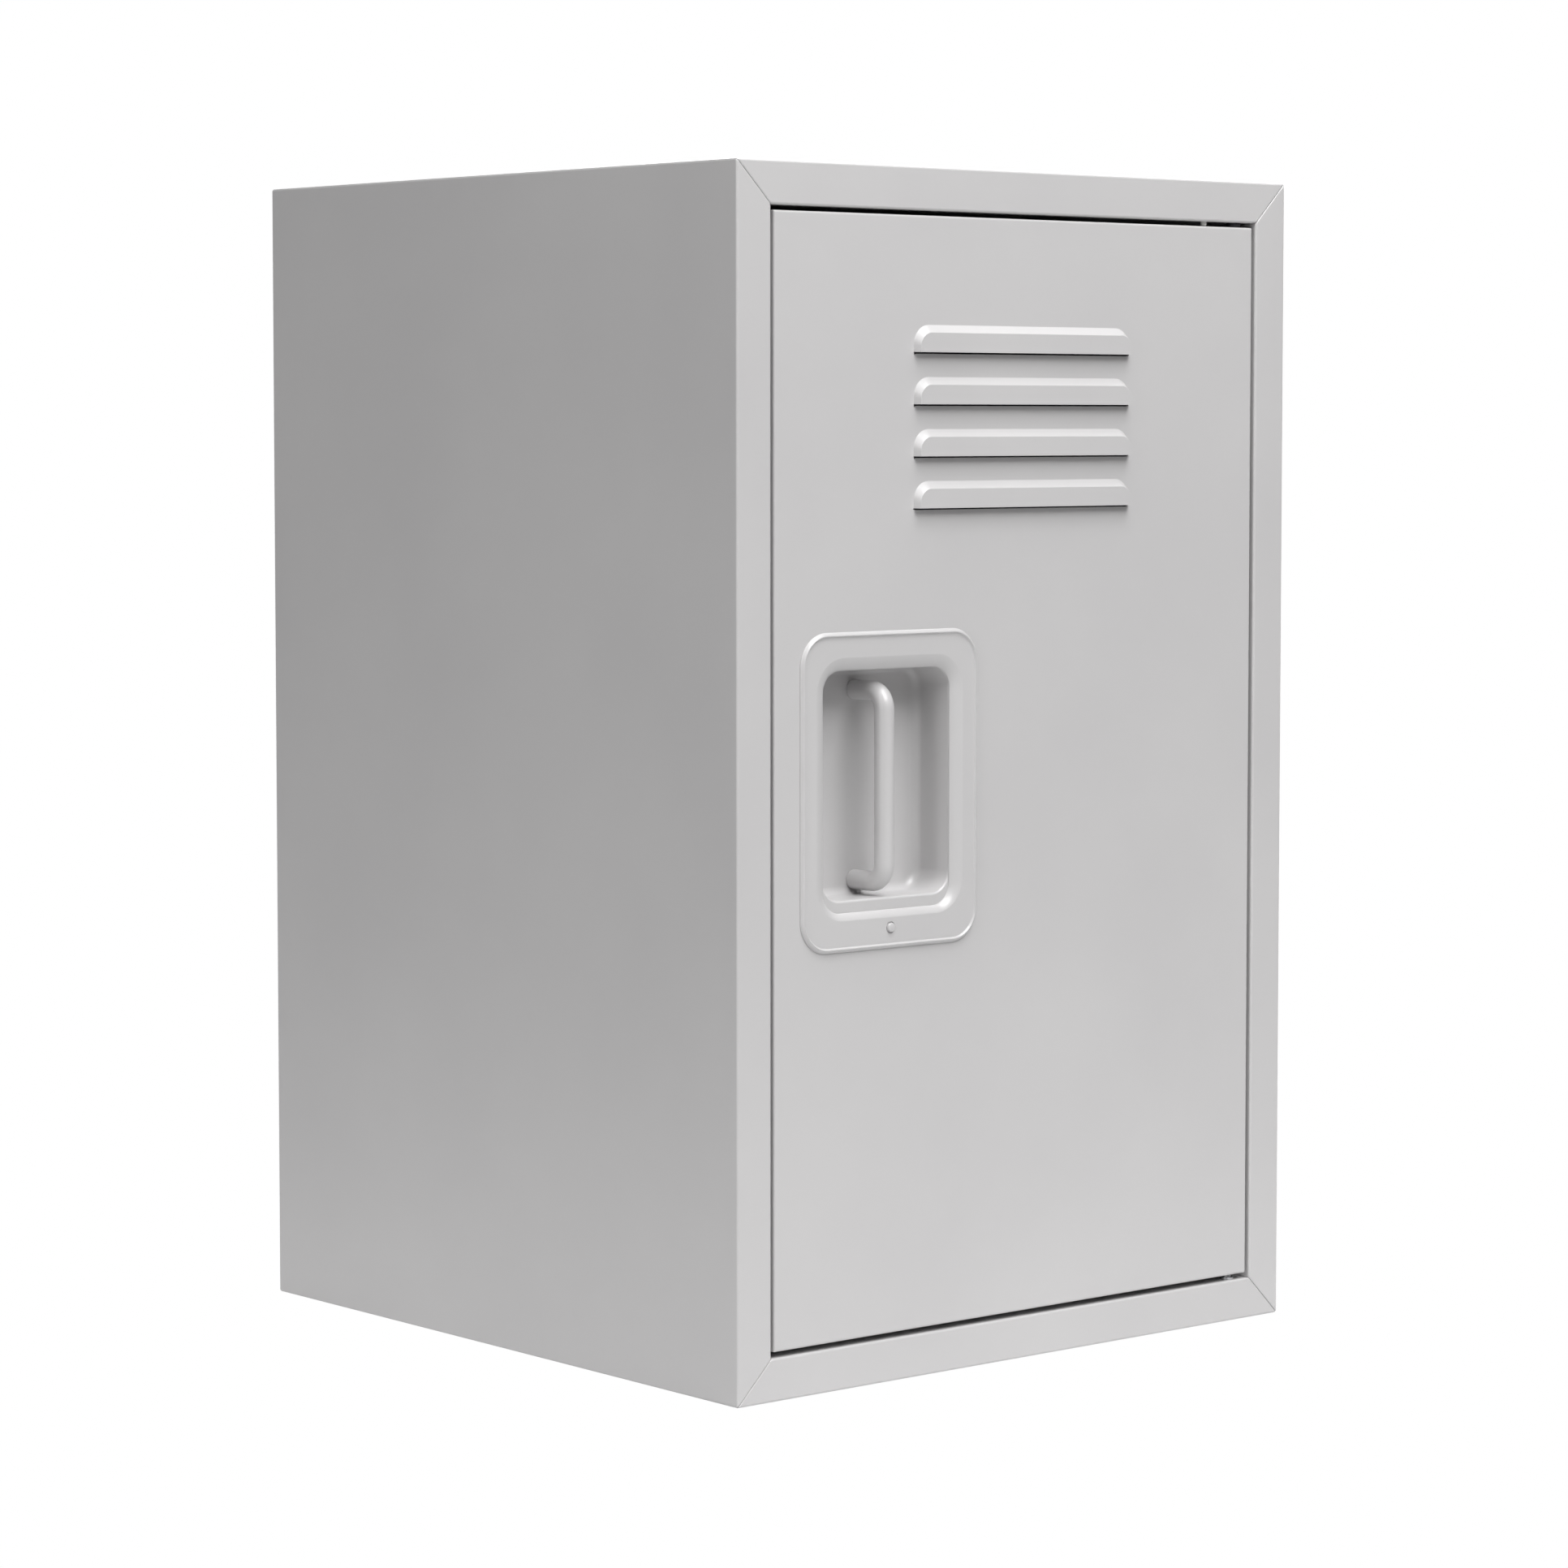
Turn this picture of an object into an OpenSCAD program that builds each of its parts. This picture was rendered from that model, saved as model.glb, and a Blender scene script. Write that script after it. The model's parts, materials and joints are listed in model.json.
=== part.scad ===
// Locker cabinet in folded sheet steel: one door with pressed louvres and a recessed pull handle.
// Millimetres. The origin is the centre of the footprint on the floor, +Z is up, the door faces -Y
// and hangs on two pivots at its +X edge.

/* [Cabinet] */
// Overall width of the cabinet
cabinet_w = 380; // [310:1:560]
// Depth of the cabinet from the frame's face to the back
cabinet_d = 400; // [320:1:560]
// Overall height of the cabinet
cabinet_h = 610; // [500:1:900]
// Thickness of every folded sheet
sheet_t = 1; // [0.8:0.05:1.2]
// Width of the mitred frame face round the door
frame_face = 21.7; // [18:0.1:30]
// Depth of the return folded back from the frame's inner edge
frame_return = 16; // [14:0.5:22]

/* [Back panel] */
// Depth of the flanges folded back round the back panel, which sets it in from the cabinet's rear
back_fold = 10; // [6:0.5:20]
// Distance of the wall anchor holes from the cabinet's sides
anchor_inset_x = 50; // [30:1:90]
// Distance of the wall anchor holes from the cabinet's top and base
anchor_inset_z = 55; // [30:1:120]
// Radius of the wall anchor holes
anchor_hole_r = 3.5; // [2.5:0.1:5]

/* [Shelf] */
// Height of the shelf's upper face above the floor
shelf_z = 320; // [200:1:400]
// Depth of the shelf's front and rear folds
shelf_fold = 18; // [14:0.5:30]
// Width of each leg of the shelf rails
rail_leg = 16; // [10:0.5:25]
// Room round the shelf, so that it lifts out
shelf_clearance = 1.5; // [0.5:0.1:4]

/* [Door] */
// Gap between the door and the frame at each side
door_gap_side = 2.2; // [1.6:0.1:4]
// Gap above the door
door_gap_top = 2.5; // [2:0.1:4]
// Gap under the door
door_gap_bottom = 2.9; // [2.4:0.1:5]
// How far the door's face sits behind the frame's face
door_setback = 0.7; // [0:0.1:3]
// Depth of the returns folded back round the door
door_return = 18; // [15:0.5:25]
// Width of the lip folded in from the door's returns
door_lip = 12; // [8:0.5:20]

/* [Door stiffener] */
// Distance from the door's hinge edge to the middle of the stiffener
stiffener_inset = 46; // [38:1:60]
// Width of the stiffener's crown
stiffener_crown = 30; // [20:1:40]
// Width of each foot of the stiffener
stiffener_foot = 9; // [6:0.5:14]
// Depth of the stiffener
stiffener_d = 14; // [8:0.5:15.5]

/* [Louvres] */
// Number of louvres
louvre_count = 4; // [1:1:4]
// Width of a louvre
louvre_w = 150; // [80:1:200]
// Height of a louvre
louvre_h = 13.8; // [12:0.1:20]
// Distance from one louvre to the next
louvre_pitch = 26; // [20:0.5:26]
// How far a louvre stands out of the door
louvre_proud = 4; // [2.5:0.1:6]
// Height of the sloped band along the top of a louvre
louvre_slope = 4.2; // [2:0.1:7]
// Radius of a louvre's upper corners
louvre_corner_r = 10; // [4:0.5:11]
// Distance from the door's top edge to the first louvre
louvre_inset = 54.3; // [30:0.5:60]

/* [Handle] */
// Distance of the handle's middle below the middle of the cabinet
handle_drop = 5.5; // [-10:0.5:60]
// Distance from the door's free edge to the bezel
bezel_inset = 16.5; // [14:0.5:40]
// Width of the bezel's face on each side of its window
bezel_side = 16.7; // [15:0.1:24]
// Width of the bezel's face above and below its window
bezel_end = 19.2; // [19:0.5:30]
// Radius of the bezel's corners
bezel_corner_r = 17; // [12:0.5:24]
// How far the bezel stands out of the door
bezel_proud = 2; // [1.6:0.1:4]
// Width of the bezel's window
window_w = 84.2; // [60:0.2:100]
// Room between the ends of the pull bar and the window's upper and lower edges
bar_room = 7.4; // [7:0.1:20]
// Radius of the window's corners
window_corner_r = 11; // [6:0.5:16]
// Thickness of the collar that lines the window
collar_t = 3.5; // [2:0.1:4]
// Depth from the bezel's face to the face of the pan's flange
pan_setback = 4.5; // [4:0.1:6]
// How far the pan's floor stands above the window's lower edge
pan_floor_rise = 6.1; // [0:0.1:8]
// Depth of the recess from the door's face to the pan's back wall
recess_d = 27.3; // [24:0.1:40]
// Distance from the bezel's edges to its four screw bosses
boss_inset = 8.5; // [7.5:0.1:10]
// Radius of the screw bosses
boss_r = 3.4; // [3:0.1:4]

/* [Pull bar] */
// Diameter of the pull bar
bar_d = 10; // [8:0.1:12]
// Distance between the middles of the bar's legs
bar_centres = 96; // [64:1:128]
// Bend radius on the bar's centreline
bar_bend_r = 9; // [7:0.5:12]
// Depth of the bar's middle behind the door's face
bar_setback = 4; // [3.5:0.1:8]
// Height of the bar's middle above the bezel's middle
bar_rise = 1; // [0:0.1:4]

/* [Hinge] */
// Distance from the door's hinge edge to the pivot
pivot_inset = 9.1; // [8:0.1:12]
// Distance from the door's face back to the pivot
pivot_setback = 5.3; // [5:0.1:7]
// Radius of the hinge pins
pin_r = 1.75; // [1.5:0.05:2]
// Radius of the shoulder that the door rests on
shoulder_r = 2.25; // [2.1:0.05:2.8]
// Radius of the lower pin's collar and of the upper washer
pin_collar_r = 3.6; // [3.2:0.1:4.2]
// Thickness of the lower pin's collar
pin_collar_t = 1.1; // [0.6:0.1:1.4]
// Thickness of the hinge brackets
bracket_t = 1.4; // [1:0.1:1.6]
// Thickness of the pivot plates in the door
pivot_plate_t = 2; // [1.5:0.1:3]

/* [Door stop] */
// Width of the stop behind the door's free edge
stop_w = 16; // [12:0.5:24]
// Thickness of the rubber bumpers
bumper_t = 1; // [0.8:0.1:3]
// Radius of the rubber bumpers
bumper_r = 4; // [3:0.1:5]
// Height of the magnet housing
catch_h = 32; // [24:1:50]
// Width of the magnet housing
catch_w = 10; // [8:0.5:11]
// Depth of the magnet housing
catch_d = 12; // [8:0.5:16]
// Wall of the housing round the magnet
catch_wall = 1.5; // [1:0.1:2]

/* [Fasteners] */
// Radius of the flush rivets in the frame
rivet_r = 1.5; // [1.2:0.1:1.6]
// Radius of the rivets' tails
rivet_tail_r = 2.5; // [2.2:0.1:3]
// Height of the rivets' tails
rivet_tail_h = 0.8; // [0.5:0.1:1]
// Radius of the bezel rivet's head
bezel_rivet_r = 2.25; // [2:0.05:2.5]
// Radius of the M3 screws
m3_r = 1.5; // [1.5:0.05:1.5]
// Radius of the M4 screws
m4_r = 2; // [2:0.05:2]
// Height of the screw heads
head_h = 2.2; // [1.6:0.1:3]

/* [Clearances] */
// Radial clearance of a pin that turns in its hole
running_clearance = 0.05; // [0.02:0.01:0.1]
// Radial clearance of a fastener in its hole
hole_clearance = 0.2; // [0.1:0.05:0.5]
// Gap that lets two parts slide past each other
slide_clearance = 0.3; // [0.2:0.05:0.5]
// Gap left between the closed door and what it rests on
rest_clearance = 0.1; // [0.05:0.05:0.3]

/* [Hidden] */
$fn = 48;

// How far a cutter reaches past the face that it cuts
over = 1;
paint = [0.80, 0.80, 0.80];
zinc = [0.72, 0.73, 0.74];
black_rubber = [0.06, 0.06, 0.06];
white_nylon = [0.85, 0.85, 0.83];

// Carcass
front_y = -cabinet_d / 2;
back_y = cabinet_d / 2;
opening_x = cabinet_w / 2 - frame_face;
opening_z0 = frame_face;
opening_z1 = cabinet_h - frame_face;
back_panel_y = back_y - back_fold;
wall_x = cabinet_w / 2 - sheet_t;

// Door
door_x = opening_x - door_gap_side;
door_z0 = opening_z0 + door_gap_bottom;
door_z1 = opening_z1 - door_gap_top;
door_y0 = front_y + door_setback;
door_y1 = door_y0 + door_return;
door_sheet_y = door_y0 + sheet_t;
door_lip_y = door_y1 - sheet_t;

// Handle
window_h = bar_centres + bar_d + 2 * bar_room;
bezel_w = window_w + 2 * bezel_side;
bezel_h = window_h + 2 * bezel_end;
bezel_x = -door_x + bezel_inset + bezel_w / 2;
bezel_z = cabinet_h / 2 - handle_drop;
bezel_y = door_y0 - bezel_proud;
pan_y0 = bezel_y + pan_setback;
pan_y1 = door_y0 + recess_d;
pan_h = window_h - pan_floor_rise;
pan_z = bezel_z + pan_floor_rise / 2;
boss_x = bezel_w / 2 - boss_inset;
boss_z = bezel_h / 2 - boss_inset;
bar_x = bezel_x;
bar_y = door_y0 + bar_setback;
bar_z = bezel_z + bar_rise;
m3_head_r = 2.75;
m4_head_r = 3.75;
handle_screw_grip = 8;

// Bezel rivet, in the middle of the bezel below its window
rivet_seat_t = 0.6;
rivet_seat_r = bezel_rivet_r + 0.65;
bezel_rivet_z = bezel_z - window_h / 2 - bezel_end / 2 + 0.8;

// Hinge
pivot_x = door_x - pivot_inset;
pivot_y = door_y0 + pivot_setback;
pivot_hole_r = pin_r + running_clearance;
pin_pass = 1.5;
bracket_reach_in = 11;
bracket_reach_out = 10;
bracket_y0 = front_y + sheet_t + 0.5;
bracket_y1 = front_y + frame_return - 1;
hinge_rivet_xs = [pivot_x - 7.5, pivot_x + 6];
hinge_rivet_y = pivot_y + 5;
washer_t = door_gap_top - 2 * running_clearance;
upper_nut_t = 3;
upper_nut_r = 4;
upper_head_z = door_z1 - sheet_t - pivot_plate_t - slide_clearance;

// Anti-rattle stud
stud_x = door_x - 33.3;
stud_y = pivot_y - 1.8;
stud_r = 1.6;
stud_head_r = 2.8;
stud_head_h = 1.2;

// Door stop and magnetic catch
stop_y = door_y1 + bumper_t + rest_clearance;
stop_leg_x = -opening_x - 2 * sheet_t;
stop_edge_x = -opening_x + stop_w;
stop_end_gap = 6;
stop_z0 = opening_z0 + stop_end_gap;
stop_z1 = opening_z1 - stop_end_gap;
stop_rivet_y = front_y + frame_return / 2;
stop_rivet_inset = 40;
lip_mid_x = -door_x + door_lip / 2;
bumper_inset = 60;
bumper_stem_r = 1.4;
catch_y0 = stop_y - bumper_t + 2 * rest_clearance;
catch_ear_h = 9;
catch_ear_t = 2;
catch_screw_z = catch_h / 2 + catch_ear_h / 2;

// Shelf
shelf_y0 = pan_y1 + sheet_t + head_h + 8;
shelf_y1 = back_panel_y - shelf_clearance;
shelf_x = wall_x - shelf_clearance;
shelf_return = 10;
rail_y0 = shelf_y0 + shelf_return + 4;
rail_y1 = shelf_y1 - sheet_t - 4;
rail_z = shelf_z - sheet_t;

// A block between two opposite corners
module block(low, high) {
  translate(low) cube(high - low);
}

// A round bar along Z from z0 to z1
module bar_along_z(x, y, r, z0, z1) {
  translate([x, y, z0]) cylinder(h = z1 - z0, r = r);
}

// A round bar along Y from y0 to y1
module bar_along_y(x, z, r, y0, y1) {
  translate([x, y1, z]) rotate([90, 0, 0]) cylinder(h = y1 - y0, r = r);
}

// A round bar along X from x0 to x1
module bar_along_x(y, z, r, x0, x1) {
  translate([x0, y, z]) rotate([0, 90, 0]) cylinder(h = x1 - x0, r = r);
}

// A flat outline drawn as seen from the front, given depth from y0 to y1
module upright(y0, y1) {
  translate([0, y1, 0]) rotate([90, 0, 0]) linear_extrude(y1 - y0) children();
}

// A rectangle with round corners, centred on the origin
module rounded_rectangle(w, h, r) {
  square([w - 2 * r, h], center = true);
  square([w, h - 2 * r], center = true);
  for (sx = [-1, 1], sz = [-1, 1])
    translate([sx * (w / 2 - r), sz * (h / 2 - r)]) circle(r);
}

// The rounded rectangle centred on the handle's window
module window_outline(grow) {
  translate([bezel_x, bezel_z])
    rounded_rectangle(window_w + 2 * grow, window_h + 2 * grow, window_corner_r + grow);
}

// Places a copy of what follows at each of the bezel's four screw bosses
module at_bosses() {
  for (sx = [-1, 1], sz = [-1, 1])
    translate([bezel_x + sx * boss_x, 0, bezel_z + sz * boss_z]) children();
}

// Places a copy of what follows at each leg of the pull bar
module at_bar_legs() {
  for (s = [-1, 1])
    translate([bar_x, 0, bar_z + s * bar_centres / 2]) children();
}

// A wall of the carcass folded from one sheet, lying on z = 0 with its length along X: the wall,
// and the frame face and return at the front. Both ends are mitred.
module folded_wall(length) {
  intersection() {
    rotate([90, 0, 90]) linear_extrude(length, center = true) {
      translate([front_y, 0]) square([cabinet_d, sheet_t]);
      translate([front_y, 0]) square([sheet_t, frame_face]);
      translate([front_y, frame_face - sheet_t]) square([frame_return, sheet_t]);
    }
    upright(front_y - over, back_y + over)
      polygon([
        [-length / 2, 0],
        [length / 2, 0],
        [length / 2 - cabinet_w / 4, cabinet_w / 4],
        [-length / 2 + cabinet_w / 4, cabinet_w / 4]
      ]);
  }
}

// The folded wall stood up at the -X side
module upright_wall() {
  translate([-cabinet_w / 2, 0, cabinet_h / 2]) rotate([0, 90, 0]) folded_wall(cabinet_h);
}

module left_side_panel() {
  color(paint) difference() {
    upright_wall();
    for (z = stop_rivet_zs())
      bar_along_x(stop_rivet_y, z, rivet_r + running_clearance,
                  -opening_x - sheet_t - over, -opening_x + over);
  }
}

module right_side_panel() {
  color(paint) mirror([1, 0, 0]) upright_wall();
}

module top_panel() {
  color(paint) difference() {
    translate([0, 0, cabinet_h]) mirror([0, 0, 1]) folded_wall(cabinet_w);
    bar_along_z(pivot_x, pivot_y, pivot_hole_r, opening_z1 - over, opening_z1 + sheet_t + over);
    bar_along_z(stud_x, stud_y, stud_r + running_clearance,
                opening_z1 - over, opening_z1 + sheet_t + over);
    for (x = hinge_rivet_xs)
      bar_along_z(x, hinge_rivet_y, rivet_r + running_clearance,
                  opening_z1 - over, opening_z1 + sheet_t + over);
  }
}

module bottom_panel() {
  color(paint) difference() {
    folded_wall(cabinet_w);
    bar_along_z(pivot_x, pivot_y, pivot_hole_r, opening_z0 - sheet_t - over, opening_z0 + over);
    for (x = hinge_rivet_xs)
      bar_along_z(x, hinge_rivet_y, rivet_r + running_clearance,
                  opening_z0 - sheet_t - over, opening_z0 + over);
  }
}

// A tray between the four walls, open to the rear, with a wall anchor hole near each corner
module back_panel() {
  color(paint) difference() {
    block([-wall_x, back_panel_y, sheet_t], [wall_x, back_y, cabinet_h - sheet_t]);
    block([-wall_x + sheet_t, back_panel_y + sheet_t, 2 * sheet_t],
          [wall_x - sheet_t, back_y + over, cabinet_h - 2 * sheet_t]);
    for (sx = [-1, 1], z = [anchor_inset_z, cabinet_h - anchor_inset_z])
      bar_along_y(sx * (cabinet_w / 2 - anchor_inset_x), z, anchor_hole_r,
                  back_panel_y - over, back_y + over);
  }
}

// A tray with its front edge folded down and back, and its rear edge folded down
module shelf() {
  color(paint) {
    block([-shelf_x, shelf_y0, shelf_z - sheet_t], [shelf_x, shelf_y1, shelf_z]);
    block([-shelf_x, shelf_y0, shelf_z - shelf_fold], [shelf_x, shelf_y0 + sheet_t, shelf_z]);
    block([-shelf_x, shelf_y0, shelf_z - shelf_fold],
          [shelf_x, shelf_y0 + shelf_return, shelf_z - shelf_fold + sheet_t]);
    block([-shelf_x, shelf_y1 - sheet_t, shelf_z - shelf_fold], [shelf_x, shelf_y1, shelf_z]);
  }
}

// An angle on the -X wall that carries one end of the shelf
module shelf_rail() {
  block([-wall_x, rail_y0, rail_z - rail_leg], [-wall_x + sheet_t, rail_y1, rail_z]);
  block([-wall_x, rail_y0, rail_z - sheet_t], [-wall_x + rail_leg, rail_y1, rail_z]);
}

module shelf_rail_left() {
  color(paint) shelf_rail();
}

module shelf_rail_right() {
  color(paint) mirror([1, 0, 0]) shelf_rail();
}

// Heights of the rivets that hold the stop angle to the frame
function stop_rivet_zs() =
  [stop_z0 + stop_rivet_inset, (stop_z0 + stop_z1) / 2, stop_z1 - stop_rivet_inset];

// Heights of the rubber bumpers
function bumper_zs() = [stop_z0 + bumper_inset, stop_z1 - bumper_inset];

// An angle riveted inside the frame at the free edge, which stops the door and carries the catch
module door_stop_angle() {
  color(paint) difference() {
    union() {
      block([stop_leg_x, front_y + 2 * sheet_t, stop_z0],
            [stop_leg_x + sheet_t, stop_y + sheet_t, stop_z1]);
      block([stop_leg_x, stop_y, stop_z0], [stop_edge_x, stop_y + sheet_t, stop_z1]);
    }
    for (z = stop_rivet_zs())
      bar_along_x(stop_rivet_y, z, rivet_r + running_clearance,
                  stop_leg_x - over, stop_leg_x + sheet_t + over);
    for (z = bumper_zs())
      bar_along_y(lip_mid_x, z, bumper_stem_r, stop_y - over, stop_y + sheet_t + over);
    block([lip_mid_x - catch_w / 2 - hole_clearance, stop_y - over,
           bezel_z - catch_h / 2 - hole_clearance],
          [lip_mid_x + catch_w / 2 + hole_clearance, stop_y + sheet_t + over,
           bezel_z + catch_h / 2 + hole_clearance]);
    for (s = [-1, 1])
      bar_along_y(lip_mid_x, bezel_z + s * catch_screw_z, m3_r + hole_clearance,
                  stop_y - over, stop_y + sheet_t + over);
  }
}

module stop_rivets() {
  color(zinc) for (z = stop_rivet_zs()) {
    bar_along_x(stop_rivet_y, z, rivet_r, stop_leg_x - rivet_tail_h, -opening_x);
    bar_along_x(stop_rivet_y, z, rivet_tail_r, stop_leg_x - rivet_tail_h, stop_leg_x);
  }
}

module door_bumpers() {
  color(black_rubber) for (z = bumper_zs()) {
    bar_along_y(lip_mid_x, z, bumper_r, stop_y - bumper_t, stop_y);
    bar_along_y(lip_mid_x, z, bumper_stem_r, stop_y - bumper_t, stop_y + 2.5 * sheet_t);
  }
}

// The magnet sits in a pocket that faces the steel lip of the door
module catch_pocket(grow, y0) {
  block([lip_mid_x - catch_w / 2 + catch_wall - grow, y0,
         bezel_z - catch_h / 2 + catch_wall - grow],
        [lip_mid_x + catch_w / 2 - catch_wall + grow, catch_y0 + catch_d / 2,
         bezel_z + catch_h / 2 - catch_wall + grow]);
}

module catch_housing() {
  color(black_rubber) difference() {
    union() {
      block([lip_mid_x - catch_w / 2, catch_y0, bezel_z - catch_h / 2],
            [lip_mid_x + catch_w / 2, catch_y0 + catch_d, bezel_z + catch_h / 2]);
      block([lip_mid_x - catch_w / 2, stop_y + sheet_t, bezel_z - catch_h / 2 - catch_ear_h],
            [lip_mid_x + catch_w / 2, stop_y + sheet_t + catch_ear_t,
             bezel_z + catch_h / 2 + catch_ear_h]);
    }
    catch_pocket(0, catch_y0 - over);
    for (s = [-1, 1])
      bar_along_y(lip_mid_x, bezel_z + s * catch_screw_z, m3_r + hole_clearance,
                  stop_y + sheet_t - over, stop_y + sheet_t + catch_ear_t + over);
  }
}

module catch_magnet() {
  color(zinc) catch_pocket(0, catch_y0);
}

// A pan-head screw along -Y whose head seats at y_seat and whose tip is at y_tip
module screw_forward(x, z, r, head_r, y_seat, y_tip) {
  difference() {
    union() {
      bar_along_y(x, z, r, y_tip, y_seat + head_h / 2);
      bar_along_y(x, z, head_r, y_seat, y_seat + head_h);
    }
    translate([x, y_seat + head_h + over, z]) rotate([90, 0, 0])
      cylinder(h = head_h / 2 + over, r = r * 0.8, $fn = 6);
  }
}

module catch_screws() {
  color(zinc) for (s = [-1, 1])
    screw_forward(lip_mid_x, bezel_z + s * catch_screw_z, m3_r, m3_head_r,
                  stop_y + sheet_t + catch_ear_t, stop_y - rest_clearance);
}

// A plate that stiffens the frame's return round a hinge pin, with its lower face at z
module hinge_bracket(z) {
  difference() {
    block([pivot_x - bracket_reach_in, bracket_y0, z],
          [pivot_x + bracket_reach_out, bracket_y1, z + bracket_t]);
    bar_along_z(pivot_x, pivot_y, pivot_hole_r, z - over, z + bracket_t + over);
    for (x = hinge_rivet_xs)
      bar_along_z(x, hinge_rivet_y, rivet_r + running_clearance, z - over, z + bracket_t + over);
  }
}

// Under the base's return, out of sight
module lower_hinge_bracket() {
  color(zinc) hinge_bracket(opening_z0 - sheet_t - bracket_t);
}

// On top of the top's return, out of sight
module upper_hinge_bracket() {
  color(zinc) hinge_bracket(opening_z1 + sheet_t);
}

// Rivets flush with the faces that the door passes, with their tails inside the frame
module hinge_rivets() {
  color(zinc) for (x = hinge_rivet_xs) {
    bar_along_z(x, hinge_rivet_y, rivet_r,
                opening_z0 - sheet_t - bracket_t - rivet_tail_h, opening_z0);
    bar_along_z(x, hinge_rivet_y, rivet_tail_r,
                opening_z0 - sheet_t - bracket_t - rivet_tail_h, opening_z0 - sheet_t - bracket_t);
    bar_along_z(x, hinge_rivet_y, rivet_r,
                opening_z1, opening_z1 + sheet_t + bracket_t + rivet_tail_h);
    bar_along_z(x, hinge_rivet_y, rivet_tail_r,
                opening_z1 + sheet_t + bracket_t, opening_z1 + sheet_t + bracket_t + rivet_tail_h);
  }
}

// A stepped pin: tail, shank through bracket and return, collar, shoulder under the door, spigot
module lower_hinge_pin() {
  tail_z = opening_z0 - sheet_t - bracket_t - 1.5;
  color(zinc) {
    bar_along_z(pivot_x, pivot_y, pin_r + 1, tail_z, tail_z + 1.5);
    bar_along_z(pivot_x, pivot_y, pin_r, tail_z,
                door_z0 + sheet_t + pivot_plate_t + pin_pass);
    bar_along_z(pivot_x, pivot_y, pin_collar_r, opening_z0, opening_z0 + pin_collar_t);
    bar_along_z(pivot_x, pivot_y, shoulder_r, opening_z0, door_z0 - rest_clearance);
  }
}

// A shoulder screw driven up from inside the door into the nut above the upper bracket
module upper_hinge_pin() {
  color(zinc) difference() {
    union() {
      bar_along_z(pivot_x, pivot_y, pin_r, upper_head_z - head_h / 2,
                  opening_z1 + sheet_t + bracket_t + upper_nut_t + 0.7);
      bar_along_z(pivot_x, pivot_y, m3_head_r, upper_head_z - head_h, upper_head_z);
    }
    translate([pivot_x, pivot_y, upper_head_z - head_h - over])
      cylinder(h = head_h / 2 + over, r = m3_r * 0.8, $fn = 6);
  }
}

module upper_hinge_washer() {
  z = door_z1 + running_clearance;
  color(black_rubber) difference() {
    bar_along_z(pivot_x, pivot_y, pin_collar_r, z, z + washer_t);
    bar_along_z(pivot_x, pivot_y, pivot_hole_r, z - over, z + washer_t + over);
  }
}

module upper_hinge_nut() {
  z = opening_z1 + sheet_t + bracket_t;
  color(zinc) difference() {
    translate([pivot_x, pivot_y, z]) cylinder(h = upper_nut_t, r = upper_nut_r, $fn = 6);
    bar_along_z(pivot_x, pivot_y, pin_r, z - over, z + upper_nut_t + over);
  }
}

// A push-in stud that stops the door from lifting off the lower pin
module anti_rattle_stud() {
  color(white_nylon) {
    bar_along_z(stud_x, stud_y, stud_r, door_z1 + slide_clearance,
                opening_z1 + sheet_t + stud_head_h);
    bar_along_z(stud_x, stud_y, stud_head_r, opening_z1 + sheet_t,
                opening_z1 + sheet_t + stud_head_h);
  }
}

// A louvre's outside, grown inwards by the sheet for the hollow behind it. The hollow runs through
// the sheet and out below the hood.
module louvre_form(z, inset) {
  hollow = inset > 0;
  top = z + louvre_h - inset;
  face_y = door_y0 - louvre_proud + inset;
  rear_y = hollow ? door_sheet_y + over : door_sheet_y;
  corner_r = louvre_corner_r - inset;
  half_w = louvre_w / 2 - inset;
  intersection() {
    rotate([90, 0, 90]) linear_extrude(2 * half_w, center = true)
      polygon(concat(
        [[rear_y, top], [door_y0, top], [face_y, top - louvre_slope]],
        hollow ? [[face_y, z - over], [door_y0, z - over], [door_y0, z]] : [[face_y, z]],
        [[rear_y, z]]
      ));
    upright(face_y - over, rear_y + over) {
      translate([-half_w, z - over]) square([2 * half_w, top - corner_r - z + over]);
      translate([-half_w + corner_r, z - over])
        square([2 * (half_w - corner_r), top - z + over]);
      for (s = [-1, 1])
        translate([s * (half_w - corner_r), top - corner_r]) circle(corner_r);
    }
  }
}

// Heights of the louvres' lower edges
function louvre_zs() =
  [for (i = [0 : louvre_count - 1]) door_z1 - louvre_inset - louvre_h - i * louvre_pitch];

// The door's outer sheet: face, returns and lips folded from one blank, with pressed louvres
module door_skin() {
  color(paint) difference() {
    union() {
      difference() {
        block([-door_x, door_y0, door_z0], [door_x, door_y1, door_z1]);
        block([-door_x + sheet_t, door_sheet_y, door_z0 + sheet_t],
              [door_x - sheet_t, door_lip_y, door_z1 - sheet_t]);
        block([-door_x + door_lip, door_sheet_y, door_z0 + door_lip],
              [door_x - door_lip, door_y1 + over, door_z1 - door_lip]);
      }
      for (z = louvre_zs()) louvre_form(z, 0);
    }
    for (z = louvre_zs()) louvre_form(z, sheet_t);
    upright(door_y0 - over, door_sheet_y + over) window_outline(collar_t + slide_clearance);
    at_bosses() bar_along_y(0, 0, boss_r + slide_clearance, door_y0 - over, door_sheet_y + over);
    bar_along_y(bezel_x, bezel_rivet_z, rivet_r + running_clearance,
                door_y0 - over, door_sheet_y + over);
    bar_along_z(pivot_x, pivot_y, pin_r + slide_clearance, door_z0 - over, door_z0 + sheet_t + over);
    bar_along_z(pivot_x, pivot_y, pin_r + slide_clearance, door_z1 - sheet_t - over, door_z1 + over);
  }
}

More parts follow.
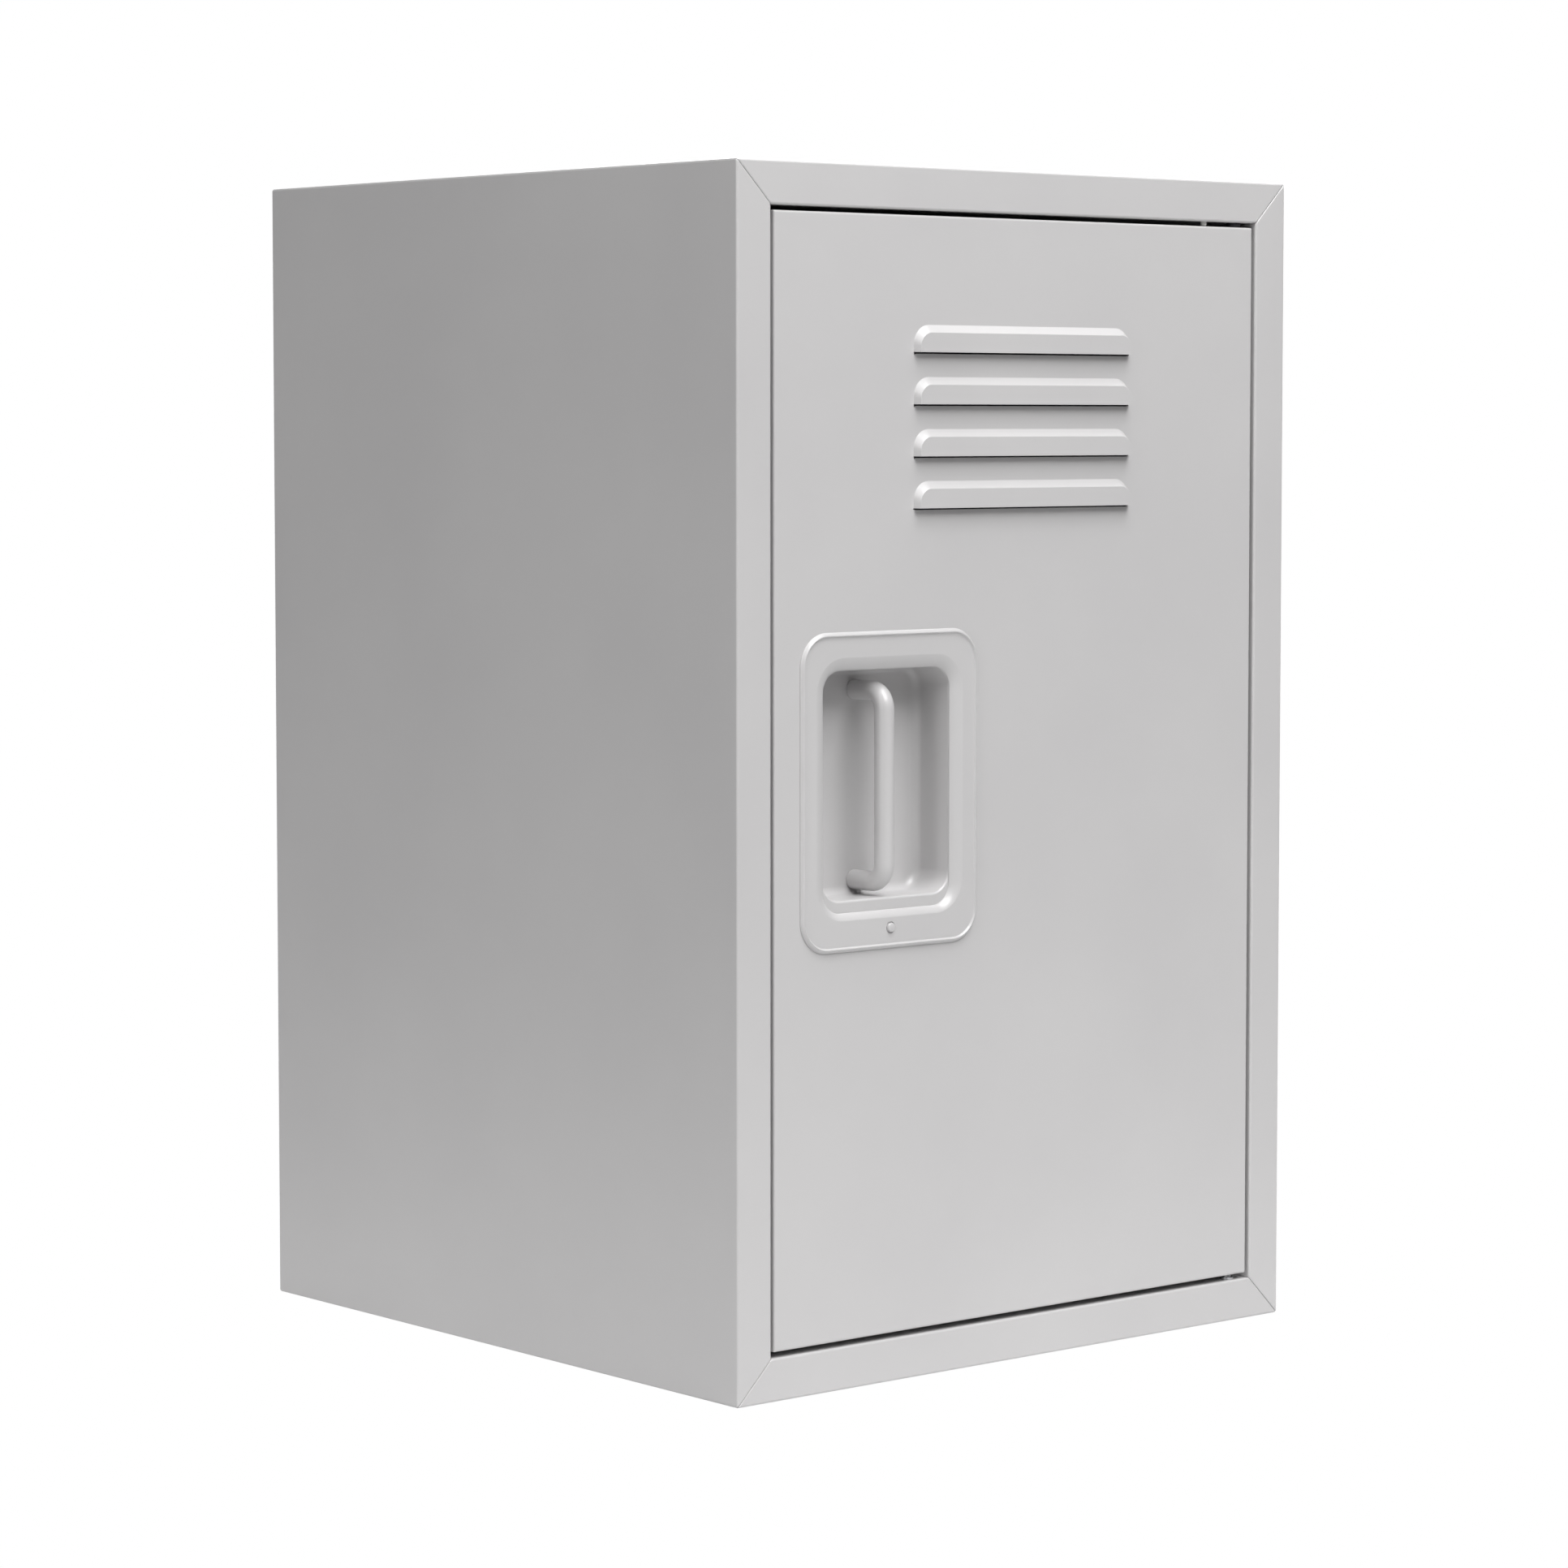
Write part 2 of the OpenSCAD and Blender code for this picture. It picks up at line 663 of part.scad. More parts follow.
// A hat section welded to the back of the door's face near the hinge edge
module door_stiffener() {
  middle_x = door_x - stiffener_inset;
  crown_x = stiffener_crown / 2;
  foot_x = crown_x + stiffener_foot;
  crown_y = door_sheet_y + stiffener_d;
  height = door_z1 - door_z0 - 2 * sheet_t - 2 * pivot_plate_t;
  color(paint) translate([middle_x, 0, door_z0 + sheet_t + pivot_plate_t]) linear_extrude(height) {
    for (s = [-1, 1]) {
      translate([s * (foot_x + crown_x - sheet_t) / 2, door_sheet_y + sheet_t / 2])
        square([stiffener_foot + sheet_t, sheet_t], center = true);
      translate([s * (crown_x - sheet_t / 2), door_sheet_y + stiffener_d / 2])
        square([sheet_t, stiffener_d], center = true);
    }
    translate([0, crown_y - sheet_t / 2]) square([stiffener_crown, sheet_t], center = true);
  }
}

// A thick plate inside one of the door's returns, in which a hinge pin turns
module pivot_plate(z) {
  difference() {
    block([pivot_x - bracket_reach_in, door_sheet_y, z],
          [door_x - sheet_t, door_lip_y, z + pivot_plate_t]);
    bar_along_z(pivot_x, pivot_y, pivot_hole_r, z - over, z + pivot_plate_t + over);
  }
}

module lower_pivot_plate() {
  color(zinc) pivot_plate(door_z0 + sheet_t);
}

module upper_pivot_plate() {
  color(zinc) pivot_plate(door_z1 - sheet_t - pivot_plate_t);
}

// The raised frame round the recess: a plate on the door's face, a collar through its cut-out and
// four bosses for the pan's screws
module handle_bezel() {
  color(paint) difference() {
    union() {
      upright(bezel_y, door_y0) translate([bezel_x, bezel_z])
        rounded_rectangle(bezel_w, bezel_h, bezel_corner_r);
      upright(bezel_y, pan_y0) window_outline(collar_t);
      at_bosses() bar_along_y(0, 0, boss_r, bezel_y, pan_y0);
    }
    upright(bezel_y - over, pan_y0 + over) window_outline(0);
    at_bosses() bar_along_y(0, 0, m3_r, door_y0 - sheet_t / 2, pan_y0 + over);
    bar_along_y(bezel_x, bezel_rivet_z, rivet_seat_r, bezel_y - over, door_y0 - rivet_seat_t);
    bar_along_y(bezel_x, bezel_rivet_z, rivet_r + running_clearance, bezel_y - over, door_y0 + over);
  }
}

// A rivet with a proud round head, seated in a counterbore of the bezel
module bezel_rivet() {
  color(paint) {
    bar_along_y(bezel_x, bezel_rivet_z, bezel_rivet_r, bezel_y - 0.5, door_y0 - rivet_seat_t);
    bar_along_y(bezel_x, bezel_rivet_z, rivet_r, bezel_y, door_sheet_y + rivet_tail_h);
    bar_along_y(bezel_x, bezel_rivet_z, rivet_tail_r, door_sheet_y, door_sheet_y + rivet_tail_h);
  }
}

// The pan's cavity outline, grown by the given amount
module pan_outline(grow) {
  translate([bezel_x, pan_z])
    rounded_rectangle(window_w + 2 * grow, pan_h + 2 * grow, window_corner_r + grow);
}

// The cup behind the bezel, with a flange that the bosses' screws hold
module recess_pan() {
  color(paint) difference() {
    union() {
      upright(pan_y0, pan_y0 + sheet_t) translate([bezel_x, bezel_z])
        rounded_rectangle(2 * (boss_x + boss_r) + 2, 2 * (boss_z + boss_r) + 2, boss_r + 1);
      upright(pan_y0, pan_y1 + sheet_t) pan_outline(sheet_t);
    }
    upright(pan_y0 - over, pan_y1) pan_outline(0);
    at_bosses() bar_along_y(0, 0, m3_r + hole_clearance, pan_y0 - over, pan_y0 + sheet_t + over);
    at_bar_legs() bar_along_y(0, 0, m4_r + hole_clearance, pan_y1 - over, pan_y1 + sheet_t + over);
  }
}

module pan_screws() {
  color(zinc) at_bosses()
    screw_forward(0, 0, m3_r, m3_head_r, pan_y0 + sheet_t, door_y0);
}

// A D-shaped bar: a straight grip, two bends, and two legs with tapped ends on the pan's back wall
module pull_bar() {
  straight = bar_centres - 2 * bar_bend_r;
  color(paint) difference() {
    union() {
      bar_along_z(bar_x, bar_y, bar_d / 2, bar_z - straight / 2, bar_z + straight / 2);
      for (s = [-1, 1])
        translate([bar_x, bar_y + bar_bend_r, bar_z + s * straight / 2])
          rotate([0, 90, 0]) rotate([0, 0, s > 0 ? 180 : 270])
            rotate_extrude(angle = 90) translate([bar_bend_r, 0]) circle(d = bar_d);
      at_bar_legs() bar_along_y(0, 0, bar_d / 2, bar_y + bar_bend_r, pan_y1);
    }
    at_bar_legs() bar_along_y(0, 0, m4_r, pan_y1 - handle_screw_grip, pan_y1 + over);
  }
}

module handle_screws() {
  color(zinc) at_bar_legs()
    screw_forward(0, 0, m4_r, m4_head_r, pan_y1 + sheet_t, pan_y1 - handle_screw_grip + 1);
}

left_side_panel();
right_side_panel();
top_panel();
bottom_panel();
back_panel();
shelf();
shelf_rail_left();
shelf_rail_right();
door_stop_angle();
stop_rivets();
door_bumpers();
catch_housing();
catch_magnet();
catch_screws();
lower_hinge_bracket();
upper_hinge_bracket();
hinge_rivets();
lower_hinge_pin();
upper_hinge_pin();
upper_hinge_washer();
upper_hinge_nut();
anti_rattle_stud();
door_skin();
door_stiffener();
lower_pivot_plate();
upper_pivot_plate();
handle_bezel();
bezel_rivet();
recess_pan();
pan_screws();
pull_bar();
handle_screws();
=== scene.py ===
import json
import math

import bmesh
import bpy
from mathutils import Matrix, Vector


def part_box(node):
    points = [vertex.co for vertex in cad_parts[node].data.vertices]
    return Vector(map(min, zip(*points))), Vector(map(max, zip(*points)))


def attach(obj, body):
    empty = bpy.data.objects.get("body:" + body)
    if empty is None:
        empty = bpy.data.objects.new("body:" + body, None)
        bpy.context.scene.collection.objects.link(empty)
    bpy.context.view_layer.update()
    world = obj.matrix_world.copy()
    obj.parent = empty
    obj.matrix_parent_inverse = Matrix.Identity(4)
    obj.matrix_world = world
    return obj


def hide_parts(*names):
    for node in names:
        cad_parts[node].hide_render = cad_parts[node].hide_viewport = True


# The finished surfaces of a sheet-steel locker cabinet, with its light, floor and camera. Metres: +X
# is to the right as seen from the front, the door faces -Y and +Z is up. Each piece stands for the
# design part of the same name and takes its place and size from that part's box.
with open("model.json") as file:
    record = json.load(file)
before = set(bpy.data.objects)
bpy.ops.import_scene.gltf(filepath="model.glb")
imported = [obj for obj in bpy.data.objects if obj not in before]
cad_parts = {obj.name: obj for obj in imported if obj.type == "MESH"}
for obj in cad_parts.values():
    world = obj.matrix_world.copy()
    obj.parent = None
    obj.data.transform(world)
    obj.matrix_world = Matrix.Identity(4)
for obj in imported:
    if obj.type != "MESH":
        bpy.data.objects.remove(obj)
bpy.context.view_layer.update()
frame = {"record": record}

MM = 0.001

# Folded sheet
SHEET = 1.0 * MM
FOLD_R = 0.8 * MM
SEAM_R = 0.9 * MM
SEAM_GAP = 0.1 * MM
CUT_R = 0.2 * MM
END_INSET_MAX = 0.45 * SHEET
FRAME_RETURN = 16 * MM
SHELF_LIP = 10 * MM

# Door
DOOR_EDGE_R = 1.2 * MM
DOOR_CORNER_R = 0.7 * MM
DOOR_LIP = 12 * MM
STIFFENER_FOOT = 9 * MM
LOUVRE_COUNT = 4
LOUVRE_W = 150 * MM
LOUVRE_H = 13.8 * MM
LOUVRE_PITCH = 26 * MM
LOUVRE_INSET = 54.3 * MM
LOUVRE_SLOPE = 4.2 * MM
LOUVRE_SIDE = 1.5 * MM
LOUVRE_CORNER_R = 10 * MM
LOUVRE_FACE_CORNER_R = 7.2 * MM
LOUVRE_FILLET_SHARE = 0.1
LOUVRE_SLIT = 0.8 * MM

# Handle
BEZEL_SIDE = 16.7 * MM
BEZEL_END = 19.2 * MM
BEZEL_CORNER_R = 17 * MM
BEZEL_EDGE_R = 1.7 * MM
BEZEL_EDGE_FLAT = 0.5
BEAD_W = 2.7 * MM
BEAD_H = 0.9 * MM
WINDOW_CORNER_R = 11 * MM
LIP_DEPTH = 3.2 * MM
LIP_W = 6.4 * MM
LIP_W_BELOW = 3.6 * MM
LIP_FLAT = 0.55
COLLAR = 3.5 * MM
CUTOUT_CLEARANCE = 0.3 * MM
PAN_FLOOR_RISE = 6.1 * MM
PAN_EDGE_R = 1.2 * MM
PAN_FILLET_R = 4.5 * MM
PAN_FLANGE_CORNER_R = 4.4 * MM
BAR_BEND_R = 9 * MM
BAR_NECK = 0.2 * MM
BOSS_INSET = 8.5 * MM
BOSS_HOLE_R = 3.7 * MM
RIVET_SEAT_R = 2.9 * MM
RIVET_SEAT_DEPTH = 1.4 * MM
BEZEL_RIVET_HEAD_R = 2.25 * MM
BEZEL_RIVET_DOME_H = 0.5 * MM

# Back panel
TRAY_CORNER_R = 1.9 * MM
ANCHOR_INSET_X = 50 * MM
ANCHOR_INSET_Z = 55 * MM
ANCHOR_HOLE_R = 3.5 * MM

# Hinge and fasteners
HOLE_CLEARANCE = 0.05 * MM
HINGE_PLATE_CORNER_R = 1 * MM
PIN_R = 1.75 * MM
RIVET_R = 1.5 * MM
RIVET_TAIL_H = 0.8 * MM
HINGE_RIVET_TAIL_R = 2.5 * MM
M3_R = 1.5 * MM
M3_HEAD_R = 2.75 * MM
M4_R = 2 * MM
M4_HEAD_R = 3.75 * MM
SCREW_HEAD_H = 2.2 * MM

# Light: each lamp has a name, a place, a width, a height and a power in watts
LAMPS = [
    ("overhead", (0, -0.2, 2.8), 2.0, 2.0, 44),
    ("over front", (-0.1, -1.8, 2.6), 2.0, 2.0, 78),
    ("high front", (-0.3, -3.0, 2.6), 1.6, 1.6, 14),
    ("over left", (-2.0, -0.5, 2.4), 1.6, 1.6, 18),
    ("left strip", (-2.2, -0.8, 0.6), 0.3, 1.8, 7),
    ("behind right", (2.2, 2.0, 1.8), 1.8, 1.8, 70),
]
WORLD_STRENGTH = 0.02
GLOW_STRENGTH = 0.7
GLOW_RADIUS = 1.3
FLOOR_RADIUS = 6

# Camera: yaw and pitch are in radians, from straight ahead and from level, and the sensor's width
# and the lens are in millimetres
EYE = (-1.60753, -1.91651, 0.48353)
EYE_YAW = 0.70048
EYE_PITCH = -0.0655
SENSOR_WIDTH = 36
LENS = 105.5
LENS_SHIFT_Y = -0.0395

# How finely shapes are divided
FILL_BORDER = 0.3 * MM
CORNER_R_MIN = 0.5 * MM
SHARP_ANGLE = math.radians(40)
CORNER_STEPS = 12
FILLET_STEPS = 5
SMALL_FILLET_STEPS = 3
FOLD_STEPS = 6
LIP_STEPS = 10
BEZEL_EDGE_STEPS = 8
BEAD_STEPS = 6
PAN_FILLET_STEPS = 10
BAR_BEND_STEPS = 14
TURNED_SIDES = 48
FLOOR_SIDES = 96

# The stretch of a noise pattern, out of 0 to 1, that a colour or a roughness runs over
NOISE_LOW = 0.3
NOISE_HIGH = 0.7

BODY_OF = {
    node: body
    for body, nodes in frame["record"]["behaviour"]["bodies"].items()
    for node in nodes
}


def add_object(name, data):
    """A new object, linked to the scene."""
    added = bpy.data.objects.new(name, data)
    bpy.context.scene.collection.objects.link(added)
    return added


# ---- Materials ----------------------------------------------------------------------------------

def start_material(name, roughness, metallic=0.0):
    """A material with a Principled shader, and its node tree."""
    material = bpy.data.materials.new(name)
    material.use_nodes = True
    tree = material.node_tree
    shader = tree.nodes["Principled BSDF"]
    shader.inputs["Roughness"].default_value = roughness
    shader.inputs["Metallic"].default_value = metallic
    return material, tree, shader


def noise(tree, scale, detail):
    """Solid noise in the object's own space. scale is in patches per metre."""
    place = tree.nodes.new("ShaderNodeTexCoord")
    texture = tree.nodes.new("ShaderNodeTexNoise")
    texture.inputs["Scale"].default_value = scale
    texture.inputs["Detail"].default_value = detail
    tree.links.new(place.outputs["Object"], texture.inputs["Vector"])
    return texture.outputs["Fac"]


def vary_colour(tree, shader, source, dark, light):
    """Drives the base colour between two colours."""
    ramp = tree.nodes.new("ShaderNodeValToRGB")
    ramp.color_ramp.elements[0].position = NOISE_LOW
    ramp.color_ramp.elements[0].color = (*dark, 1)
    ramp.color_ramp.elements[1].position = NOISE_HIGH
    ramp.color_ramp.elements[1].color = (*light, 1)
    tree.links.new(source, ramp.inputs["Fac"])
    tree.links.new(ramp.outputs["Color"], shader.inputs["Base Color"])


def vary_roughness(tree, shader, source, low, high):
    """Drives the roughness between two values."""
    span = tree.nodes.new("ShaderNodeMapRange")
    span.inputs["From Min"].default_value = NOISE_LOW
    span.inputs["From Max"].default_value = NOISE_HIGH
    span.inputs["To Min"].default_value = low
    span.inputs["To Max"].default_value = high
    tree.links.new(source, span.inputs["Value"])
    tree.links.new(span.outputs["Result"], shader.inputs["Roughness"])


def add_bump(tree, shader, source, depth, strength):
    """Presses a pattern into the surface, depth metres deep."""
    bump = tree.nodes.new("ShaderNodeBump")
    bump.inputs["Strength"].default_value = strength
    bump.inputs["Distance"].default_value = depth
    tree.links.new(source, bump.inputs["Height"])
    tree.links.new(bump.outputs["Normal"], shader.inputs["Normal"])


def light_grey_paint():
    """Satin powder coat: faint orange peel, and a slow drift in tone and sheen."""
    material, tree, shader = start_material("light_grey_paint", 0.31)
    shader.inputs["Specular IOR Level"].default_value = 0.75
    vary_colour(tree, shader, noise(tree, 9, 3), (0.565, 0.557, 0.56), (0.59, 0.582, 0.583))
    vary_roughness(tree, shader, noise(tree, 60, 4), 0.29, 0.33)
    add_bump(tree, shader, noise(tree, 700, 2), 0.03 * MM, 0.35)
    return material


def zinc_steel():
    """Bright zinc plate, a little cloudy, with fine marks from tumbling."""
    material, tree, shader = start_material("zinc_steel", 0.3, metallic=1.0)
    vary_colour(tree, shader, noise(tree, 900, 4), (0.6, 0.61, 0.63), (0.74, 0.75, 0.76))
    vary_roughness(tree, shader, noise(tree, 2500, 3), 0.24, 0.42)
    add_bump(tree, shader, noise(tree, 6000, 2), 0.01 * MM, 0.4)
    return material


def black_rubber():
    """Matt black rubber with a dusty bloom."""
    material, tree, shader = start_material("black_rubber", 0.8)
    vary_colour(tree, shader, noise(tree, 500, 4), (0.012, 0.012, 0.012), (0.028, 0.028, 0.027))
    vary_roughness(tree, shader, noise(tree, 900, 2), 0.7, 0.9)
    add_bump(tree, shader, noise(tree, 4000, 3), 0.02 * MM, 0.6)
    return material


def black_plastic():
    """Black moulded plastic with a spark-eroded grain."""
    material, tree, shader = start_material("black_plastic", 0.5)
    vary_colour(tree, shader, noise(tree, 300, 3), (0.018, 0.018, 0.02), (0.03, 0.03, 0.033))
    vary_roughness(tree, shader, noise(tree, 1500, 2), 0.42, 0.6)
    add_bump(tree, shader, noise(tree, 3500, 4), 0.03 * MM, 0.7)
    return material


def white_nylon():
    """Off-white moulded nylon, faintly mottled."""
    material, tree, shader = start_material("white_nylon", 0.35)
    vary_colour(tree, shader, noise(tree, 400, 3), (0.7, 0.7, 0.67), (0.8, 0.8, 0.77))
    vary_roughness(tree, shader, noise(tree, 1200, 2), 0.3, 0.42)
    add_bump(tree, shader, noise(tree, 3000, 2), 0.01 * MM, 0.4)
    return material


MATERIALS = {
    "light_grey_paint": light_grey_paint(),
    "zinc_steel": zinc_steel(),
    "black_rubber": black_rubber(),
    "black_plastic": black_plastic(),
    "white_nylon": white_nylon(),
}


# ---- Shapes in a plane --------------------------------------------------------------------------

def arc(x, y, radius, start, end, steps):
    """Points on an arc from one angle to another, in degrees."""
    angles = [math.radians(start + (end - start) * i / steps) for i in range(steps + 1)]
    return [(x + radius * math.cos(a), y + radius * math.sin(a)) for a in angles]


def quarter(radius, steps=FILLET_STEPS):
    """A quarter circle as pairs of how far it still has to go sideways and how deep it is."""
    angles = [math.pi / 2 * i / steps for i in range(steps + 1)]
    return [(radius * (1 - math.sin(a)), radius * (1 - math.cos(a))) for a in angles]


def eased_chamfer(radius, steps, flat):
    """The same for a quarter circle drawn towards its chord: 0 leaves it round, 1 makes it flat."""
    return [
        (side + (radius * (1 - i / steps) - side) * flat, deep + (radius * i / steps - deep) * flat)
        for i, (side, deep) in enumerate(quarter(radius, steps))
    ]


def rounded_rectangle(x0, z0, x1, z1, radius):
    """Points round a rectangle with round corners."""
    corners = [
        (x1 - radius, z0 + radius, -90),
        (x1 - radius, z1 - radius, 0),
        (x0 + radius, z1 - radius, 90),
        (x0 + radius, z0 + radius, 180),
    ]
    return [p for x, z, start in corners for p in arc(x, z, radius, start, start + 90, CORNER_STEPS)]


def ring(outline, grow, y):
    """An outline (x0, z0, x1, z1, corner radius) grown all round and stood up at depth y. However
    far it shrinks, its corners keep a small radius, so that no two points meet."""
    x0, z0, x1, z1, radius = outline
    corner_r = max(radius + grow, CORNER_R_MIN)
    points = rounded_rectangle(x0 - grow, z0 - grow, x1 + grow, z1 + grow, corner_r)
    return [Vector((x, y, z)) for x, z in points]


def between(inner, outer, share):
    """An outline part of the way from one to another."""
    return tuple(a + (b - a) * share for a, b in zip(inner, outer))


def circle(x, z, radius, y):
    """A circle stood up at depth y."""
    points = arc(x, z, radius, 0, 360, TURNED_SIDES)[:-1]
    return [Vector((px, y, pz)) for px, pz in points]


def folded(path, inset):
    """The outline of a sheet folded along a path through its middle, with round bends and eased
    edges. inset takes that much off it all round."""
    half = SHEET / 2 - inset
    ease = min(CUT_R, half / 2)
    points = [Vector(p) for p in path]
    heads = [(b - a).normalized() for a, b in zip(points, points[1:])]
    normals = [Vector((-d.y, d.x)) for d in heads]
    first = points[0] + heads[0] * inset
    last = points[-1] - heads[-1] * inset
    spine = [(first, normals[0], half - ease), (first + heads[0] * ease, normals[0], half)]
    for corner, before, after, normal in zip(points[1:], heads, heads[1:], normals):
        turn = before.angle_signed(after)
        reach = FOLD_R * math.tan(abs(turn) / 2)
        side = -1 if turn > 0 else 1
        centre = corner - before * reach + normal * side * FOLD_R
        for i in range(FOLD_STEPS + 1):
            angle = side * abs(turn) * i / FOLD_STEPS
            c, s = math.cos(angle), math.sin(angle)
            turned_normal = Vector((normal.x * c - normal.y * s, normal.x * s + normal.y * c))
            spine.append((centre - turned_normal * side * FOLD_R, turned_normal, half))
    spine.append((last - heads[-1] * ease, normals[-1], half))
    spine.append((last, normals[-1], half - ease))
    left = [p + n * h for p, n, h in spine]
    right = [p - n * h for p, n, h in reversed(spine)]
    return left + right


# ---- Shapes in space ----------------------------------------------------------------------------

def along_y(x, z):
    """Places a shape made round an axis so that the axis runs along +Y through (x, z)."""
    return lambda across, up, along: Vector((x + across, along, z + up))


def along_z(x, y):
    """Places a shape made round an axis so that the axis runs along +Z through (x, y)."""
    return lambda across, up, along: Vector((x + across, y + up, along))


def skin(bm, loops, closed=True, around=False, cap_first=False, cap_last=False):
    """Joins loops that have equally many points with quads. around joins the last to the first."""
    rings = [[bm.verts.new(p) for p in loop] for loop in loops]
    pairs = list(zip(rings, rings[1:]))
    if around:
        pairs.append((rings[-1], rings[0]))
    count = len(rings[0])
    for a, b in pairs:
        for i in range(count if closed else count - 1):
            j = (i + 1) % count
            bm.faces.new((a[i], a[j], b[j], b[i]))
    if cap_first:
        bm.faces.new(rings[0][::-1])
    if cap_last:
        bm.faces.new(rings[-1])
    return rings


def fill(bm, rings):
    """Fills the flat area between closed rings of vertices, with a narrow border round each ring
    that keeps the middle's shading flat."""
    edges = []
    for verts in rings:
        for a, b in zip(verts, verts[1:] + verts[:1]):
            edges.append(bm.edges.get((a, b)) or bm.edges.new((a, b)))
    filled = bmesh.ops.triangle_fill(bm, edges=edges, use_beauty=True)["geom"]
    faces = [item for item in filled if isinstance(item, bmesh.types.BMFace)]
    bmesh.ops.recalc_face_normals(bm, faces=faces)
    bmesh.ops.inset_region(bm, faces=faces, thickness=FILL_BORDER, use_even_offset=True)


def new_ring(bm, points):
    """Loose vertices, for fill to join."""
    return [bm.verts.new(p) for p in points]


def fold_along(bm, path, half_length, place, mitred=False, end_r=CUT_R):
    """Sweeps a folded sheet along its length, with ends that round over from end_r before them.
    place makes a point of how far along it is and its two coordinates in the path's plane. A
    mitred end is cut at 45 degrees."""
    loops = []
    for side in (-1, 1):
        part = []
        for inset, back in quarter(1, SMALL_FILLET_STEPS):
            back *= end_r
            part.append([
                place(side * (half_length - (p.y + back * math.sqrt(2) if mitred else back)),
                      p.x, p.y)
                for p in folded(path, inset * min(end_r, END_INSET_MAX))
            ])
        loops += part if side < 0 else part[::-1]
    skin(bm, loops, cap_first=True, cap_last=True)


def turned(bm, profile, place, around=False):
    """Spins a profile of (radius, along) pairs, or (radius, along, sides) for a flat-sided stretch
    whose radius is to its corners."""
    loops = []
    for radius, along, *sides in profile:
        loop = []
        for i in range(TURNED_SIDES):
            angle = 2 * math.pi * i / TURNED_SIDES
            reach = radius
            if sides:
                wedge = 2 * math.pi / sides[0]
                reach *= math.cos(wedge / 2) / math.cos(angle % wedge - wedge / 2)
            loop.append(place(reach * math.cos(angle), reach * math.sin(angle), along))
        loops.append(loop)
    skin(bm, loops, around=around, cap_first=not around, cap_last=not around)


def plate(bm, outline, holes, place, low, high):
    """A flat plate with holes. The outlines are lists of points in its plane."""
    lower, upper = [], []
    for points in [outline, *holes]:
        rings = skin(bm, [[place(x, y, level) for x, y in points] for level in (low, high)])
        lower.append(rings[0])
        upper.append(rings[1])
    fill(bm, lower)
    fill(bm, upper)


def thicken(bm, name):
    """Gives an open surface the sheet's thickness, on the side away from its normals."""
    mesh = bpy.data.meshes.new(name)
    bm.to_mesh(mesh)
    bm.free()
    shell = add_object(name, mesh)
    solidify = shell.modifiers.new("thickness", "SOLIDIFY")
    solidify.thickness = SHEET
    solidify.offset = -1
    solidify.use_even_offset = True
    solidify.use_quality_normals = True
    thick = bmesh.new()
    thick.from_object(shell, bpy.context.evaluated_depsgraph_get())
    bpy.data.objects.remove(shell)
    bpy.data.meshes.remove(mesh)
    return thick


def face_towards(bm, direction):
    """Turns an open surface so that its largest face looks along a direction."""
    bmesh.ops.recalc_face_normals(bm, faces=bm.faces)
    bm.normal_update()
    largest = max(bm.faces, key=lambda face: face.calc_area())
    if largest.normal.dot(Vector(direction)) < 0:
        bmesh.ops.reverse_faces(bm, faces=bm.faces)


def finish_piece(bm, node, slot, ease=CUT_R):
    """Makes a piece of a mesh: eases its sharp edges, or leaves them as cut, paints it and has it
    stand for its node."""
    bmesh.ops.recalc_face_normals(bm, faces=bm.faces)
    for face in bm.faces:
        face.smooth = True
    mesh = bpy.data.meshes.new("finished_" + node)
    bm.to_mesh(mesh)
    bm.free()
    mesh.materials.append(MATERIALS[slot])
    piece = add_object("finished_" + node, mesh)
    if ease:
        bevel = piece.modifiers.new("eased edges", "BEVEL")
        bevel.width = ease
        bevel.segments = 2
        bevel.limit_method = "ANGLE"
        bevel.angle_limit = SHARP_ANGLE
    else:
        mesh.set_sharp_from_angle(angle=SHARP_ANGLE)
    shading = piece.modifiers.new("shading", "WEIGHTED_NORMAL")
    shading.keep_sharp = True
    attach(piece, BODY_OF[node])
    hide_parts(node)


# ---- Carcass ------------------------------------------------------------------------------------

left_low, left_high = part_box("left_side_panel")
_, right_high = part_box("right_side_panel")
FRONT_Y, BACK_Y = left_low.y, left_high.y
HALF_W = right_high.x
HEIGHT = left_high.z
FRAME_FACE = left_high.x - left_low.x
_, stop_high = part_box("door_stop_angle")
door_low, door_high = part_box("door_skin")
washer_low, washer_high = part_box("upper_hinge_washer")
rivets_low, rivets_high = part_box("hinge_rivets")
PIVOT_X = (washer_low.x + washer_high.x) / 2
PIVOT_Y = (washer_low.y + washer_high.y) / 2
RIVET_Y = (rivets_low.y + rivets_high.y) / 2
HINGE_RIVET_XS = (rivets_low.x + HINGE_RIVET_TAIL_R, rivets_high.x - HINGE_RIVET_TAIL_R)


def walls():
    """The four walls: each is one sheet, folded round into the frame's face and return."""
    mid = SHEET / 2
    path = [
        (BACK_Y, mid),
        (FRONT_Y + mid, mid),
        (FRONT_Y + mid, FRAME_FACE - mid),
        (FRONT_Y + FRAME_RETURN, FRAME_FACE - mid),
    ]
    places = {
        "left_side_panel": (HEIGHT / 2, lambda s, y, h: Vector((-HALF_W + h, y, HEIGHT / 2 + s))),
        "right_side_panel": (HEIGHT / 2, lambda s, y, h: Vector((HALF_W - h, y, HEIGHT / 2 + s))),
        "top_panel": (HALF_W, lambda s, y, h: Vector((s, y, HEIGHT - h))),
        "bottom_panel": (HALF_W, lambda s, y, h: Vector((s, y, h))),
    }
    for node, (half_length, place) in places.items():
        bm = bmesh.new()
        fold_along(bm, path, half_length - SEAM_GAP, place, mitred=True, end_r=SEAM_R)
        finish_piece(bm, node, "light_grey_paint", ease=0)


